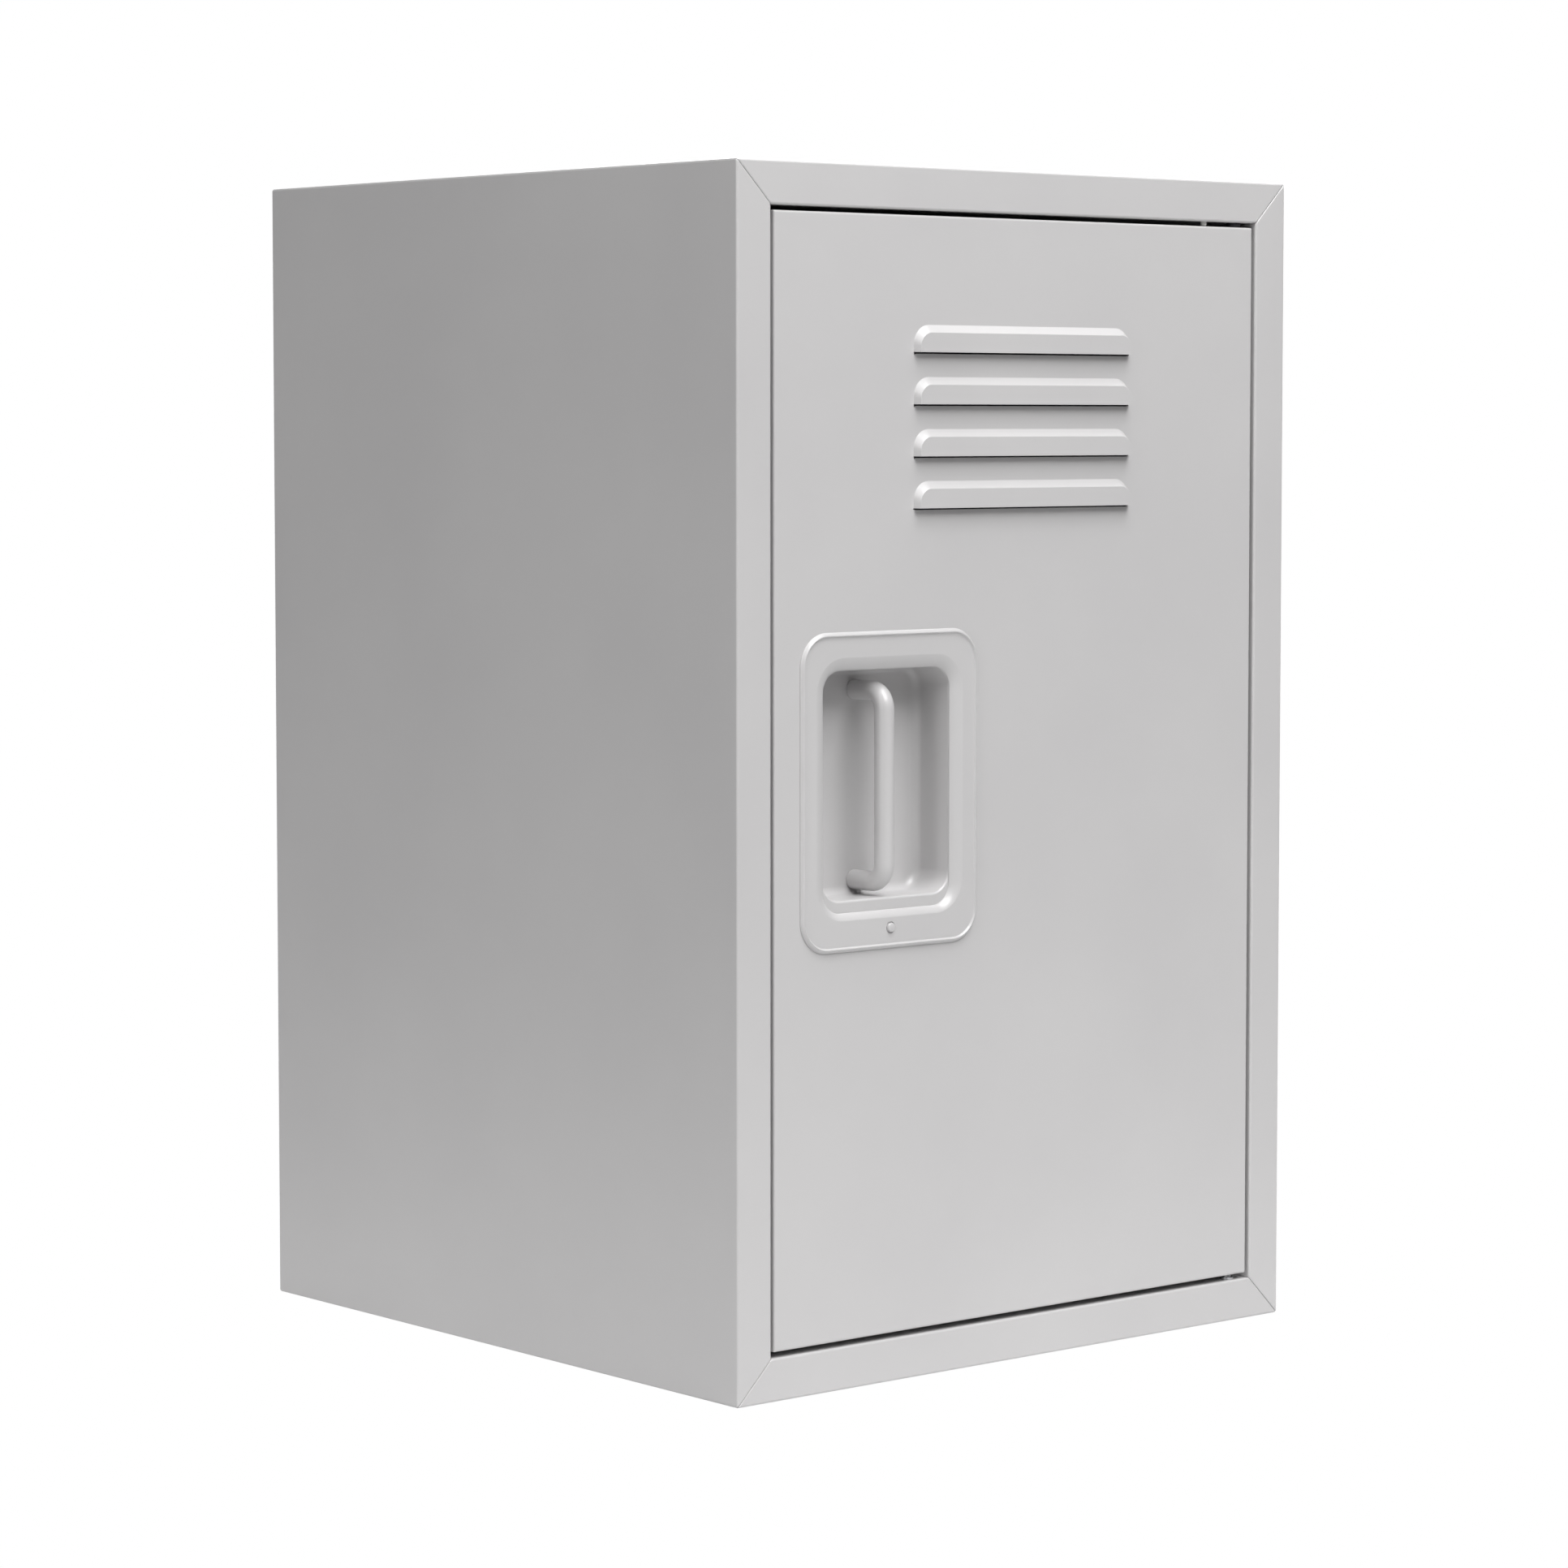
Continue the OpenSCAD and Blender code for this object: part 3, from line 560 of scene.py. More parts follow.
def back_panel():
    """A tray open to the rear, with a wall anchor hole near each corner."""
    low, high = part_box("back_panel")
    outline = (low.x, low.z, high.x, high.z, TRAY_CORNER_R)
    bm = bmesh.new()
    loops = [ring(outline, -side, low.y + deep) for side, deep in quarter(FOLD_R + SHEET / 2)]
    loops.append(ring(outline, 0, high.y))
    rings = skin(bm, loops)
    holes = [
        new_ring(bm, circle(sx * (HALF_W - ANCHOR_INSET_X), z, ANCHOR_HOLE_R, low.y))
        for sx in (-1, 1)
        for z in (ANCHOR_INSET_Z, HEIGHT - ANCHOR_INSET_Z)
    ]
    fill(bm, [rings[0], *holes])
    face_towards(bm, (0, -1, 0))
    finish_piece(thicken(bm, "back"), "back_panel", "light_grey_paint")


def shelf():
    """A shelf folded down at the rear, and down and back at the front."""
    low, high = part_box("shelf")
    mid = SHEET / 2
    path = [
        (high.y - mid, low.z),
        (high.y - mid, high.z - mid),
        (low.y + mid, high.z - mid),
        (low.y + mid, low.z + mid),
        (low.y + SHELF_LIP, low.z + mid),
    ]
    bm = bmesh.new()
    fold_along(bm, path, (high.x - low.x) / 2, lambda s, y, z: Vector((s, y, z)))
    finish_piece(bm, "shelf", "light_grey_paint", ease=0)


def shelf_rails():
    """Two angles on the side walls that carry the shelf."""
    for node, hand in (("shelf_rail_left", -1), ("shelf_rail_right", 1)):
        low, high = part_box(node)
        wall_x = max(abs(low.x), abs(high.x)) - SHEET / 2
        edge_x = min(abs(low.x), abs(high.x))
        middle_y = (low.y + high.y) / 2
        path = [(wall_x, low.z), (wall_x, high.z - SHEET / 2), (edge_x, high.z - SHEET / 2)]
        bm = bmesh.new()
        fold_along(bm, path, (high.y - low.y) / 2,
                   lambda s, x, z: Vector((hand * x, middle_y + s, z)))
        finish_piece(bm, node, "light_grey_paint", ease=0)


def door_stop_angle():
    """An angle behind the door's free edge."""
    low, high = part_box("door_stop_angle")
    mid = SHEET / 2
    middle_z = (low.z + high.z) / 2
    path = [(low.x + mid, low.y), (low.x + mid, high.y - mid), (high.x, high.y - mid)]
    bm = bmesh.new()
    fold_along(bm, path, (high.z - low.z) / 2, lambda s, x, y: Vector((x, y, middle_z + s)))
    finish_piece(bm, "door_stop_angle", "light_grey_paint", ease=0)


def stop_rivets():
    """Three rivets through the stop angle: a low dome in the gap beside the door, a tail inside."""
    low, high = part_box("stop_rivets")
    tail_r = (high.y - low.y) / 2
    y = (low.y + high.y) / 2
    tail_x = low.x + RIVET_TAIL_H
    ease = 0.35 * MM
    bm = bmesh.new()
    for z in (low.z + tail_r, (low.z + high.z) / 2, high.z - tail_r):
        profile = [
            (tail_r - ease, low.x),
            (tail_r, low.x + ease),
            (tail_r, tail_x),
            (RIVET_R, tail_x),
            (RIVET_R, high.x),
            (RIVET_R * 0.8, high.x + 0.12 * MM),
            (RIVET_R * 0.3, high.x + 0.2 * MM),
        ]
        turned(bm, profile, lambda a, b, along: Vector((along, y + a, z + b)))
    finish_piece(bm, "stop_rivets", "zinc_steel", ease=0.06 * MM)


def door_bumpers():
    """Two rubber pads with a domed face, pushed into the stop angle."""
    low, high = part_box("door_bumpers")
    radius = (high.x - low.x) / 2
    x = (low.x + high.x) / 2
    pad_y = low.y + 1 * MM
    stem_r = 1.4 * MM
    profile = [
        (radius * 0.35, low.y),
        (radius * 0.7, low.y + 0.06 * MM),
        (radius * 0.9, low.y + 0.2 * MM),
        (radius, low.y + 0.5 * MM),
        (radius, pad_y),
        (stem_r, pad_y),
        (stem_r, high.y - 0.3 * MM),
        (stem_r - 0.3 * MM, high.y),
    ]
    bm = bmesh.new()
    for z in (low.z + radius, high.z - radius):
        turned(bm, profile, along_y(x, z))
    finish_piece(bm, "door_bumpers", "black_rubber", ease=0.06 * MM)


def catch_housing():
    """The magnet's moulded case, with a pocket at the front and a drilled ear at each end."""
    low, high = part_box("catch_housing")
    ear_h, ear_y, ear_t, ear_corner_r = 9 * MM, stop_high.y, 2 * MM, 2.5 * MM
    overlap, hole_r, wall = 0.5 * MM, 1.7 * MM, 1.5 * MM
    front = quarter(0.5 * MM, SMALL_FILLET_STEPS)
    back = reversed(quarter(1 * MM, SMALL_FILLET_STEPS))
    case = (low.x, low.z + ear_h, high.x, high.z - ear_h, 1 * MM)
    pocket_y = low.y + (high.y - low.y) / 2
    x = (low.x + high.x) / 2
    bm = bmesh.new()
    loops = [ring(case, -wall, y) for y in (pocket_y, low.y)]
    loops += [ring(case, -side, low.y + deep) for side, deep in front]
    loops += [ring(case, -side, high.y - deep) for side, deep in back]
    skin(bm, loops, cap_first=True, cap_last=True)
    for hand, z0, z1 in ((-1, low.z, low.z + ear_h), (1, high.z - ear_h, high.z)):
        ear = rounded_rectangle(low.x, z0 - (overlap if hand > 0 else 0), high.x,
                                z1 + (overlap if hand < 0 else 0), ear_corner_r)
        hole = arc(x, (z0 + z1) / 2, hole_r, 0, 360, TURNED_SIDES)[:-1]
        plate(bm, ear, [hole], lambda a, b, level: Vector((a, level, b)), ear_y, ear_y + ear_t)
    finish_piece(bm, "catch_housing", "black_plastic", ease=0.15 * MM)


def catch_magnet():
    """Two steel pole plates with the magnet sunk a little between them."""
    low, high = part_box("catch_magnet")
    pole_t = (high.x - low.x) / 4
    sunk, corner_r = 0.5 * MM, 0.3 * MM
    bm = bmesh.new()
    for x0, x1, front in (
        (low.x, low.x + pole_t, low.y),
        (low.x + pole_t, high.x - pole_t, low.y + sunk),
        (high.x - pole_t, high.x, low.y),
    ):
        outline = (x0, low.z, x1, high.z, corner_r)
        skin(bm, [ring(outline, 0, front), ring(outline, 0, high.y)],
             cap_first=True, cap_last=True)
    finish_piece(bm, "catch_magnet", "zinc_steel", ease=0.1 * MM)


def screw_profile(tip_y, seat_y, head_y, shank_r, head_r):
    """A pan-head screw that points along -Y, with a hexagonal socket."""
    socket_r = shank_r * 0.8
    head_h = head_y - seat_y
    ease = 0.35 * MM
    dome = [(head_r * (0.62 + 0.38 * math.cos(a)), seat_y + head_h * (0.45 + 0.55 * math.sin(a)))
            for a in [math.radians(d) for d in (0, 22, 45, 68, 90)]]
    return [
        (shank_r - ease, tip_y),
        (shank_r, tip_y + ease),
        (shank_r, seat_y),
        (head_r, seat_y),
        *dome,
        (socket_r, head_y, 6),
        (socket_r, head_y - head_h / 2, 6),
    ]


def screws(node, shank_r, head_r, places):
    """A group of screws along Y, each at a place in the XZ plane."""
    low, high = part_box(node)
    bm = bmesh.new()
    for x, z in places:
        profile = screw_profile(low.y, high.y - SCREW_HEAD_H, high.y, shank_r, head_r)
        turned(bm, profile, along_y(x, z))
    finish_piece(bm, node, "zinc_steel", ease=0.08 * MM)


def end_places(node, head_r):
    """The middles of the two screws of a node that stand one above the other."""
    low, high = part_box(node)
    return [((low.x + high.x) / 2, z) for z in (low.z + head_r, high.z - head_r)]


def drilled_plate(node):
    """A thick plate with the hinge pin's hole, and two rivet holes if it is a frame bracket."""
    low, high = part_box(node)
    outline = rounded_rectangle(low.x, low.y, high.x, high.y, HINGE_PLATE_CORNER_R)
    drills = [(PIVOT_X, PIVOT_Y, PIN_R)]
    if "bracket" in node:
        drills += [(x, RIVET_Y, RIVET_R) for x in HINGE_RIVET_XS]
    holes = [arc(x, y, radius + HOLE_CLEARANCE, 0, 360, TURNED_SIDES)[:-1]
             for x, y, radius in drills]
    bm = bmesh.new()
    plate(bm, outline, holes, lambda x, y, z: Vector((x, y, z)), low.z, high.z)
    finish_piece(bm, node, "zinc_steel", ease=0.2 * MM)


def hinge_rivets():
    """Two flush rivets through each hinge bracket, with round tails inside the frame."""
    low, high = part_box("hinge_rivets")
    tail_r = (high.y - low.y) / 2
    ease = 0.3 * MM
    lower_face, upper_face = FRAME_FACE, HEIGHT - FRAME_FACE
    bm = bmesh.new()
    for x in HINGE_RIVET_XS:
        for tail_z, inward, face_z in ((low.z, 1, lower_face), (high.z, -1, upper_face)):
            profile = [
                (tail_r - ease, tail_z),
                (tail_r, tail_z + inward * ease),
                (tail_r, tail_z + inward * RIVET_TAIL_H),
                (RIVET_R, tail_z + inward * RIVET_TAIL_H),
                (RIVET_R, face_z + inward * 0.05 * MM),
                (RIVET_R * 0.6, face_z + inward * 0.12 * MM),
            ]
            turned(bm, profile, along_z(x, RIVET_Y))
    finish_piece(bm, "hinge_rivets", "zinc_steel", ease=0.05 * MM)


def lower_hinge_pin():
    """A stepped pin: riveted tail, shank, collar on the frame, shoulder and round-ended spigot."""
    low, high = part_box("lower_hinge_pin")
    collar_r, shoulder_r, tail_r = 3.6 * MM, 2.25 * MM, PIN_R + 1 * MM
    collar_h, tail_h, ease = 1.1 * MM, 1.5 * MM, 0.5 * MM
    collar_z, shoulder_z = FRAME_FACE, door_low.z - 0.1 * MM
    profile = [
        (tail_r - ease, low.z),
        (tail_r, low.z + ease),
        (tail_r, low.z + tail_h),
        (PIN_R, low.z + tail_h),
        (PIN_R, collar_z),
        (collar_r, collar_z),
        (collar_r, collar_z + collar_h),
        (shoulder_r, collar_z + collar_h),
        (shoulder_r, shoulder_z),
        (PIN_R, shoulder_z),
        (PIN_R, high.z - 0.6 * MM),
        (PIN_R * 0.8, high.z - 0.15 * MM),
        (PIN_R * 0.5, high.z),
    ]
    bm = bmesh.new()
    turned(bm, profile, along_z(PIVOT_X, PIVOT_Y))
    finish_piece(bm, "lower_hinge_pin", "zinc_steel", ease=0.12 * MM)


def upper_hinge_pin():
    """A shoulder screw driven up from inside the door, with a hexagonal socket in its head."""
    low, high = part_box("upper_hinge_pin")
    head_r, socket_r = (high.x - low.x) / 2, 1.2 * MM
    seat_z = low.z + SCREW_HEAD_H
    ease = 0.4 * MM
    profile = [
        (socket_r, low.z + SCREW_HEAD_H / 2, 6),
        (socket_r, low.z, 6),
        (head_r - ease, low.z),
        (head_r, low.z + ease),
        (head_r, seat_z),
        (PIN_R, seat_z),
        (PIN_R, high.z - ease),
        (PIN_R - ease, high.z),
    ]
    bm = bmesh.new()
    turned(bm, profile, along_z(PIVOT_X, PIVOT_Y))
    finish_piece(bm, "upper_hinge_pin", "zinc_steel", ease=0.08 * MM)


def upper_hinge_washer():
    """A flat washer between the door and the frame above it."""
    low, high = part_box("upper_hinge_washer")
    outer, inner = (high.x - low.x) / 2, PIN_R + HOLE_CLEARANCE
    profile = [(outer, low.z), (outer, high.z), (inner, high.z), (inner, low.z)]
    bm = bmesh.new()
    turned(bm, profile, along_z(PIVOT_X, PIVOT_Y), around=True)
    finish_piece(bm, "upper_hinge_washer", "black_plastic", ease=0.15 * MM)


def upper_hinge_nut():
    """A hexagon nut with chamfered corners."""
    low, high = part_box("upper_hinge_nut")
    corner_r = (high.x - low.x) / 2
    flat_r = corner_r * math.cos(math.pi / 6)
    corner_ease, bore_ease = 0.35 * MM, 0.3 * MM
    profile = [
        (flat_r, low.z),
        (corner_r, low.z + corner_ease, 6),
        (corner_r, high.z - corner_ease, 6),
        (flat_r, high.z),
        (PIN_R + bore_ease, high.z),
        (PIN_R, high.z - bore_ease),
        (PIN_R, low.z + bore_ease),
        (PIN_R + bore_ease, low.z),
    ]
    bm = bmesh.new()
    turned(bm, profile, along_z(PIVOT_X, PIVOT_Y), around=True)
    finish_piece(bm, "upper_hinge_nut", "zinc_steel", ease=0)


def anti_rattle_stud():
    """A push-in stud with a round head above the frame's return and a round nose at the door."""
    low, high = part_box("anti_rattle_stud")
    middle = (low + high) / 2
    head_r, stem_r = (high.x - low.x) / 2, 1.6 * MM
    head_z = high.z - 1.2 * MM
    profile = [
        (stem_r * 0.45, low.z),
        (stem_r * 0.8, low.z + 0.12 * MM),
        (stem_r, low.z + 0.45 * MM),
        (stem_r, head_z),
        (head_r, head_z),
        (head_r, high.z - 0.4 * MM),
        (head_r - 0.5 * MM, high.z),
    ]
    bm = bmesh.new()
    turned(bm, profile, along_z(middle.x, middle.y))
    finish_piece(bm, "anti_rattle_stud", "white_nylon", ease=0.1 * MM)


walls()
back_panel()
shelf()
shelf_rails()
door_stop_angle()
stop_rivets()
door_bumpers()
catch_housing()
catch_magnet()
screws("catch_screws", M3_R, M3_HEAD_R, end_places("catch_screws", M3_HEAD_R))
drilled_plate("lower_hinge_bracket")
drilled_plate("upper_hinge_bracket")
hinge_rivets()
lower_hinge_pin()
upper_hinge_pin()
upper_hinge_washer()
upper_hinge_nut()
anti_rattle_stud()


# ---- Door ---------------------------------------------------------------------------------------

stiffener_low, stiffener_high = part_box("door_stiffener")
bezel_low, bezel_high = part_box("handle_bezel")
pan_low, pan_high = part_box("recess_pan")
bar_low, bar_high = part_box("pull_bar")
rivet_low, rivet_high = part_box("bezel_rivet")
DOOR_Y = stiffener_low.y - SHEET
DOOR = (door_low.x, door_low.z, door_high.x, door_high.z, DOOR_CORNER_R)
BEZEL = (bezel_low.x, bezel_low.z, bezel_high.x, bezel_high.z, BEZEL_CORNER_R)
WINDOW = (
    bezel_low.x + BEZEL_SIDE,
    bezel_low.z + BEZEL_END,
    bezel_high.x - BEZEL_SIDE,
    bezel_high.z - BEZEL_END,
    WINDOW_CORNER_R,
)
MOUTH = (
    WINDOW[0] - LIP_W,
    WINDOW[1] - LIP_W_BELOW,
    WINDOW[2] + LIP_W,
    WINDOW[3] + LIP_W,
    WINDOW_CORNER_R + LIP_W,
)
RIVET_X = (rivet_low.x + rivet_high.x) / 2
RIVET_Z = (rivet_low.z + rivet_high.z) / 2
BOSSES = [
    (x, z)
    for x in (bezel_low.x + BOSS_INSET, bezel_high.x - BOSS_INSET)
    for z in (bezel_low.z + BOSS_INSET, bezel_high.z - BOSS_INSET)
]


def hood_line(half_w, low_z, high_z, radius):
    """The left, top and right sides of a louvre, from its lower right corner to its lower left."""
    return [
        (half_w, low_z),
        *arc(half_w - radius, high_z - radius, radius, 0, 90, CORNER_STEPS),
        *arc(-half_w + radius, high_z - radius, radius, 90, 180, CORNER_STEPS),
        (-half_w, low_z),
    ]


def ramp(share, fillet):
    """Height of a hood's flank at a share of its width: level, then steep, then level again."""
    if share < fillet:
        return share * share / (2 * fillet * (1 - fillet))
    if share > 1 - fillet:
        return 1 - ramp(1 - share, fillet)
    return (share - fillet / 2) / (1 - fillet)


def louvre(bm, low_z):
    """A hood pressed out of the door above a slit. Returns the ring round the hood and the slit."""
    proud = DOOR_Y - door_low.y
    high_z = low_z + LOUVRE_H
    base = hood_line(LOUVRE_W / 2, low_z, high_z, LOUVRE_CORNER_R)
    face = hood_line(LOUVRE_W / 2 - LOUVRE_SIDE, low_z, high_z - LOUVRE_SLOPE,
                     LOUVRE_FACE_CORNER_R)
    f = LOUVRE_FILLET_SHARE
    shares = [0, f / 3, f * 2 / 3, f, 0.5, 1 - f, 1 - f * 2 / 3, 1 - f / 3, 1]
    loops = [
        [
            Vector((bx + (fx - bx) * share, DOOR_Y - proud * ramp(share, f), bz + (fz - bz) * share))
            for (bx, bz), (fx, fz) in zip(base, face)
        ]
        for share in shares
    ]
    rings = skin(bm, loops, closed=False)
    bm.faces.new(rings[-1])
    slit_half_w = LOUVRE_W / 2 - LOUVRE_SIDE
    slit = [Vector((side * slit_half_w, DOOR_Y, low_z - LOUVRE_SLIT)) for side in (-1, 1)]
    return rings[0] + new_ring(bm, slit)


def door_skin():
    """The door's face with its louvres and cut-outs, folded back into returns and lips."""
    bm = bmesh.new()
    edge = quarter(DOOR_EDGE_R)
    loops = [ring(DOOR, -side, DOOR_Y + deep) for side, deep in edge]
    loops += [ring(DOOR, -side, door_high.y - deep) for side, deep in reversed(edge)]
    loops.append(ring(DOOR, -DOOR_LIP, door_high.y))
    rings = skin(bm, loops)
    holes = [
        louvre(bm, door_high.z - LOUVRE_INSET - LOUVRE_H - i * LOUVRE_PITCH)
        for i in range(LOUVRE_COUNT)
    ]
    holes.append(new_ring(bm, ring(WINDOW, COLLAR + CUTOUT_CLEARANCE, DOOR_Y)))
    holes += [new_ring(bm, circle(x, z, BOSS_HOLE_R, DOOR_Y)) for x, z in BOSSES]
    fill(bm, [rings[0], *holes])
    face_towards(bm, (0, -1, 0))
    finish_piece(thicken(bm, "skin"), "door_skin", "light_grey_paint", ease=0)


def door_stiffener():
    """A hat section behind the door's face."""
    low, high = stiffener_low, stiffener_high
    mid = SHEET / 2
    middle_x, middle_z = (low.x + high.x) / 2, (low.z + high.z) / 2
    foot = (high.x - low.x) / 2
    crown = foot - STIFFENER_FOOT - mid
    path = [
        (-foot, low.y + mid),
        (-crown, low.y + mid),
        (-crown, high.y - mid),
        (crown, high.y - mid),
        (crown, low.y + mid),
        (foot, low.y + mid),
    ]
    bm = bmesh.new()
    fold_along(bm, path, (high.z - low.z) / 2,
               lambda s, x, y: Vector((middle_x + x, y, middle_z + s)))
    finish_piece(bm, "door_stiffener", "light_grey_paint", ease=0)


def handle_bezel():
    """A raised frame with a bead round its rim, a soft lip into its window, and a rivet's seat."""
    bm = bmesh.new()
    face_y = bezel_low.y + BEAD_H
    loops = [
        ring(between(WINDOW, MOUTH, side), 0, face_y + LIP_DEPTH * deep)
        for side, deep in eased_chamfer(1, LIP_STEPS, LIP_FLAT)
    ]
    loops += [
        ring(WINDOW, 0, bezel_high.y),
        ring(WINDOW, COLLAR, bezel_high.y),
        ring(WINDOW, COLLAR, DOOR_Y),
        ring(BEZEL, 0, DOOR_Y),
    ]
    edge = reversed(eased_chamfer(BEZEL_EDGE_R, BEZEL_EDGE_STEPS, BEZEL_EDGE_FLAT))
    loops += [ring(BEZEL, -side, bezel_low.y + deep) for side, deep in edge]
    for i in range(1, BEAD_STEPS + 1):
        share = i / BEAD_STEPS
        side = BEZEL_EDGE_R + (BEAD_W - BEZEL_EDGE_R) * share
        drop = BEAD_H * (1 - math.cos(math.pi * share)) / 2
        loops.append(ring(BEZEL, -side, bezel_low.y + drop))
    rings = skin(bm, loops)
    seat = skin(bm, [
        circle(RIVET_X, RIVET_Z, RIVET_SEAT_R, face_y),
        circle(RIVET_X, RIVET_Z, RIVET_SEAT_R, bezel_low.y + RIVET_SEAT_DEPTH),
    ], cap_last=True)
    fill(bm, [rings[0], rings[-1], seat[0]])
    finish_piece(bm, "handle_bezel", "light_grey_paint", ease=0.15 * MM)


def recess_pan():
    """A deep-drawn cup with a flange, rounded over at its mouth and filleted at its back."""
    flange = (pan_low.x, pan_low.z, pan_high.x, pan_high.z, PAN_FLANGE_CORNER_R)
    x0, z0, x1, z1, radius = WINDOW
    cup = (x0, z0 + PAN_FLOOR_RISE, x1, z1, radius)
    back_y = pan_high.y - SHEET
    fillet = reversed(quarter(PAN_FILLET_R, PAN_FILLET_STEPS))
    bm = bmesh.new()
    loops = [ring(flange, 0, pan_low.y)]
    loops += [ring(cup, side, pan_low.y + deep) for side, deep in quarter(PAN_EDGE_R)]
    loops += [ring(cup, -side, back_y - deep) for side, deep in fillet]
    skin(bm, loops, cap_last=True)
    face_towards(bm, (0, -1, 0))
    finish_piece(thicken(bm, "pan"), "recess_pan", "light_grey_paint")


def bar_line(y, low_z, high_z):
    """The bar's middle line from its lower foot to its upper one, with two points at each neck, and
    which way is outward at each point."""
    bend_y = y + BAR_BEND_R
    neck_y = bar_high.y - BAR_NECK
    centres = [
        (bar_high.y, low_z),
        (neck_y, low_z),
        (neck_y, low_z),
        *arc(bend_y, low_z + BAR_BEND_R, BAR_BEND_R, 270, 180, BAR_BEND_STEPS),
        *arc(bend_y, high_z - BAR_BEND_R, BAR_BEND_R, 180, 90, BAR_BEND_STEPS),
        (neck_y, high_z),
        (neck_y, high_z),
        (bar_high.y, high_z),
    ]
    outward = [
        *[(0, -1)] * 3,
        *arc(0, 0, 1, 270, 180, BAR_BEND_STEPS),
        *arc(0, 0, 1, 180, 90, BAR_BEND_STEPS),
        *[(0, 1)] * 3,
    ]
    return centres, outward


def pull_bar():
    """A round bar bent into a D, necked where its legs meet the pan."""
    radius = (bar_high.x - bar_low.x) / 2
    x = (bar_low.x + bar_high.x) / 2
    centres, outward = bar_line(bar_low.y + radius, bar_low.z + radius, bar_high.z - radius)
    sizes = [radius - BAR_NECK] * 2 + [radius] * (len(centres) - 4) + [radius - BAR_NECK] * 2
    loops = []
    for (cy, cz), (ny, nz), size in zip(centres, outward, sizes):
        loop = []
        for i in range(TURNED_SIDES):
            angle = 2 * math.pi * i / TURNED_SIDES
            out = size * math.cos(angle)
            loop.append(Vector((x + size * math.sin(angle), cy + ny * out, cz + nz * out)))
        loops.append(loop)
    bm = bmesh.new()
    skin(bm, loops, cap_first=True, cap_last=True)
    finish_piece(bm, "pull_bar", "light_grey_paint", ease=0.08 * MM)


def bezel_rivet():
    """A round-headed rivet in its seat, with its tail set behind the door."""
    head_r = BEZEL_RIVET_HEAD_R
    tail_r = (rivet_high.x - rivet_low.x) / 2
    ease = 0.3 * MM
    seat_y = bezel_low.y + RIVET_SEAT_DEPTH
    dome = [(head_r * math.sin(a), rivet_low.y + BEZEL_RIVET_DOME_H * (1 - math.cos(a)))
            for a in [math.radians(d) for d in (8, 25, 42, 58, 74, 90)]]
    profile = [
        *dome,
        (head_r, seat_y),
        (RIVET_R, seat_y),
        (RIVET_R, DOOR_Y + SHEET),
        (tail_r, DOOR_Y + SHEET),
        (tail_r, rivet_high.y - ease),
        (tail_r - ease, rivet_high.y),
    ]
    bm = bmesh.new()
    turned(bm, profile, along_y(RIVET_X, RIVET_Z))
    finish_piece(bm, "bezel_rivet", "light_grey_paint", ease=0.08 * MM)


door_skin()
door_stiffener()
handle_bezel()
recess_pan()
pull_bar()
bezel_rivet()
drilled_plate("lower_pivot_plate")
drilled_plate("upper_pivot_plate")
screws("pan_screws", M3_R, M3_HEAD_R, BOSSES)
screws("handle_screws", M4_R, M4_HEAD_R, end_places("handle_screws", M4_HEAD_R))


# ---- Light, floor and camera --------------------------------------------------------------------

def area_light(name, place, target, width, height, power):
    """A soft light that looks at a point."""
    data = bpy.data.lights.new(name, "AREA")
    data.shape = "RECTANGLE"
    data.size = width
    data.size_y = height
    data.energy = power
    light = add_object(name, data)
    light.location = place
    light.rotation_euler = (Vector(target) - Vector(place)).to_track_quat("-Z", "Y").to_euler()


def white_to_camera(tree, surface, output):
    """Shows plain white to the camera, and lets a surface light the scene."""
    rays = tree.nodes.new("ShaderNodeLightPath")
    white = tree.nodes.new("ShaderNodeBackground" if output.bl_idname.endswith("World")
                           else "ShaderNodeEmission")
    white.inputs["Color"].default_value = (1, 1, 1, 1)
    mix = tree.nodes.new("ShaderNodeMixShader")
    tree.links.new(rays.outputs["Is Camera Ray"], mix.inputs["Fac"])
    tree.links.new(surface, mix.inputs[1])
    tree.links.new(white.outputs[0], mix.inputs[2])
    tree.links.new(mix.outputs["Shader"], output.inputs["Surface"])


def backdrop():
    """White all round, but dim in the light that it sends."""
    world = bpy.data.worlds.new("white room")
    bpy.context.scene.world = world
    world.use_nodes = True
    tree = world.node_tree
    dim = tree.nodes["Background"]
    dim.inputs["Color"].default_value = (1, 1, 1, 1)
    dim.inputs["Strength"].default_value = WORLD_STRENGTH
    white_to_camera(tree, dim.outputs["Background"], tree.nodes["World Output"])


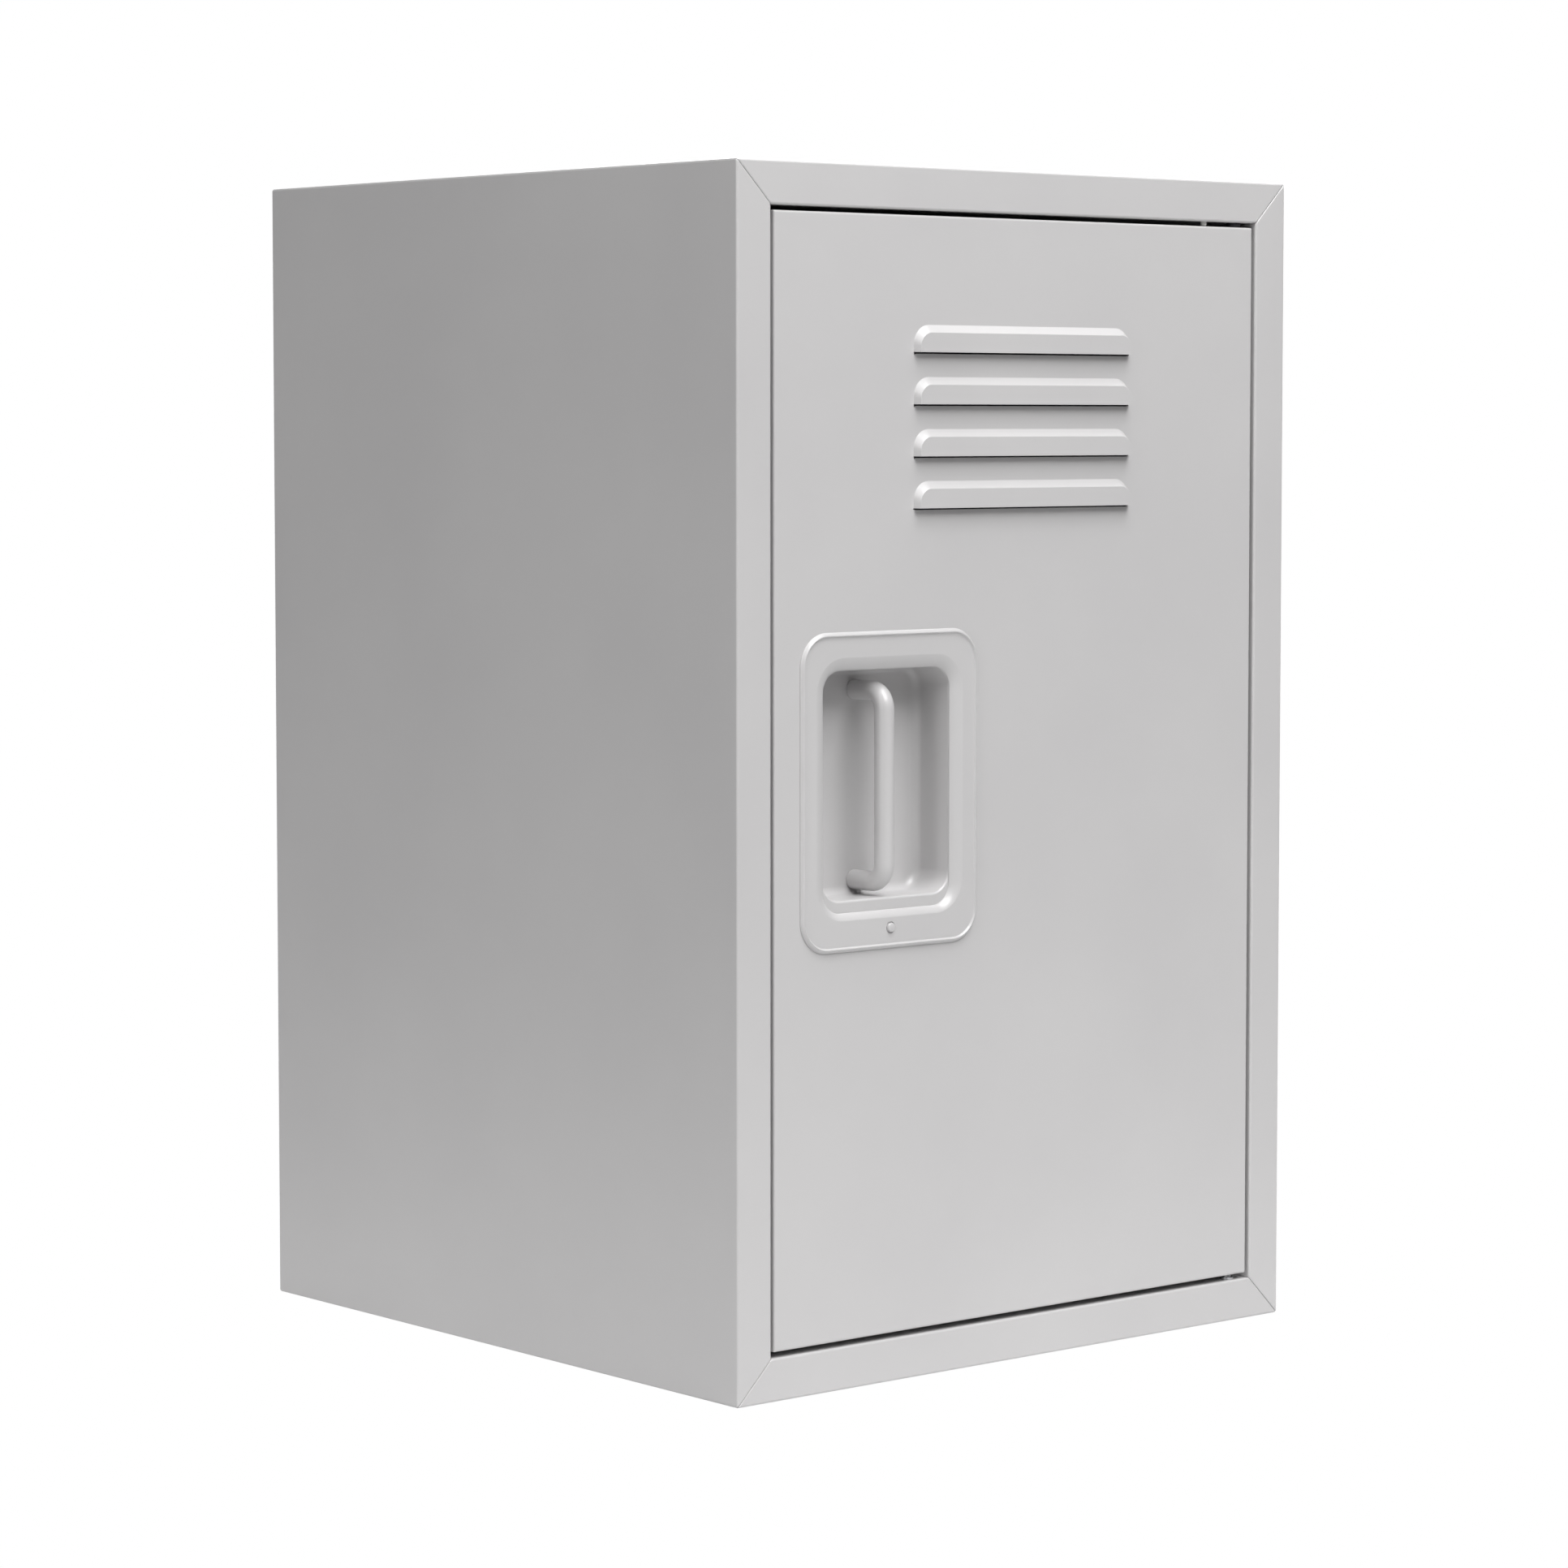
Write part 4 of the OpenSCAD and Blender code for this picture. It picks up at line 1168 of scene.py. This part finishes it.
def floor():
    """A pale floor that glows round the cabinet, like a lit table, and has no visible edge."""
    bm = bmesh.new()
    bmesh.ops.create_circle(bm, cap_ends=True, segments=FLOOR_SIDES, radius=FLOOR_RADIUS)
    mesh = bpy.data.meshes.new("floor")
    bm.to_mesh(mesh)
    bm.free()
    paint, tree, shader = start_material("pale_floor", 0.9)
    vary_colour(tree, shader, noise(tree, 3, 2), (0.29, 0.29, 0.29), (0.31, 0.31, 0.31))
    shader.inputs["Emission Color"].default_value = (1, 1, 1, 1)
    place = tree.nodes.new("ShaderNodeTexCoord")
    spread = tree.nodes.new("ShaderNodeMapping")
    spread.inputs["Scale"].default_value = (1 / GLOW_RADIUS,) * 3
    fade = tree.nodes.new("ShaderNodeTexGradient")
    fade.gradient_type = "SPHERICAL"
    glow = tree.nodes.new("ShaderNodeMath")
    glow.operation = "MULTIPLY"
    glow.inputs[1].default_value = GLOW_STRENGTH
    tree.links.new(place.outputs["Object"], spread.inputs["Vector"])
    tree.links.new(spread.outputs["Vector"], fade.inputs["Vector"])
    tree.links.new(fade.outputs["Fac"], glow.inputs[0])
    tree.links.new(glow.outputs["Value"], shader.inputs["Emission Strength"])
    white_to_camera(tree, shader.outputs["BSDF"], tree.nodes["Material Output"])
    mesh.materials.append(paint)
    disc = add_object("floor", mesh)


def studio():
    """Soft light from above, most of it in front, some from the left and some for the far side,
    and a tall strip at the left."""
    backdrop()
    floor()
    middle = (0, 0, HEIGHT / 2)
    for name, place, width, height, power in LAMPS:
        area_light(name, place, middle, width, height, power)
    bpy.context.scene.view_settings.view_transform = "Standard"


def camera():
    """A long lens at about four fifths of the cabinet's height, to the left of its front."""
    data = bpy.data.cameras.new("camera")
    data.sensor_width = SENSOR_WIDTH
    data.lens = LENS
    data.shift_y = LENS_SHIFT_Y
    eye = add_object("camera", data)
    level = math.cos(EYE_PITCH)
    ahead = Vector((math.sin(EYE_YAW) * level, math.cos(EYE_YAW) * level, math.sin(EYE_PITCH)))
    eye.location = EYE
    eye.rotation_euler = ahead.to_track_quat("-Z", "Y").to_euler()
    bpy.context.scene.camera = eye


studio()
camera()
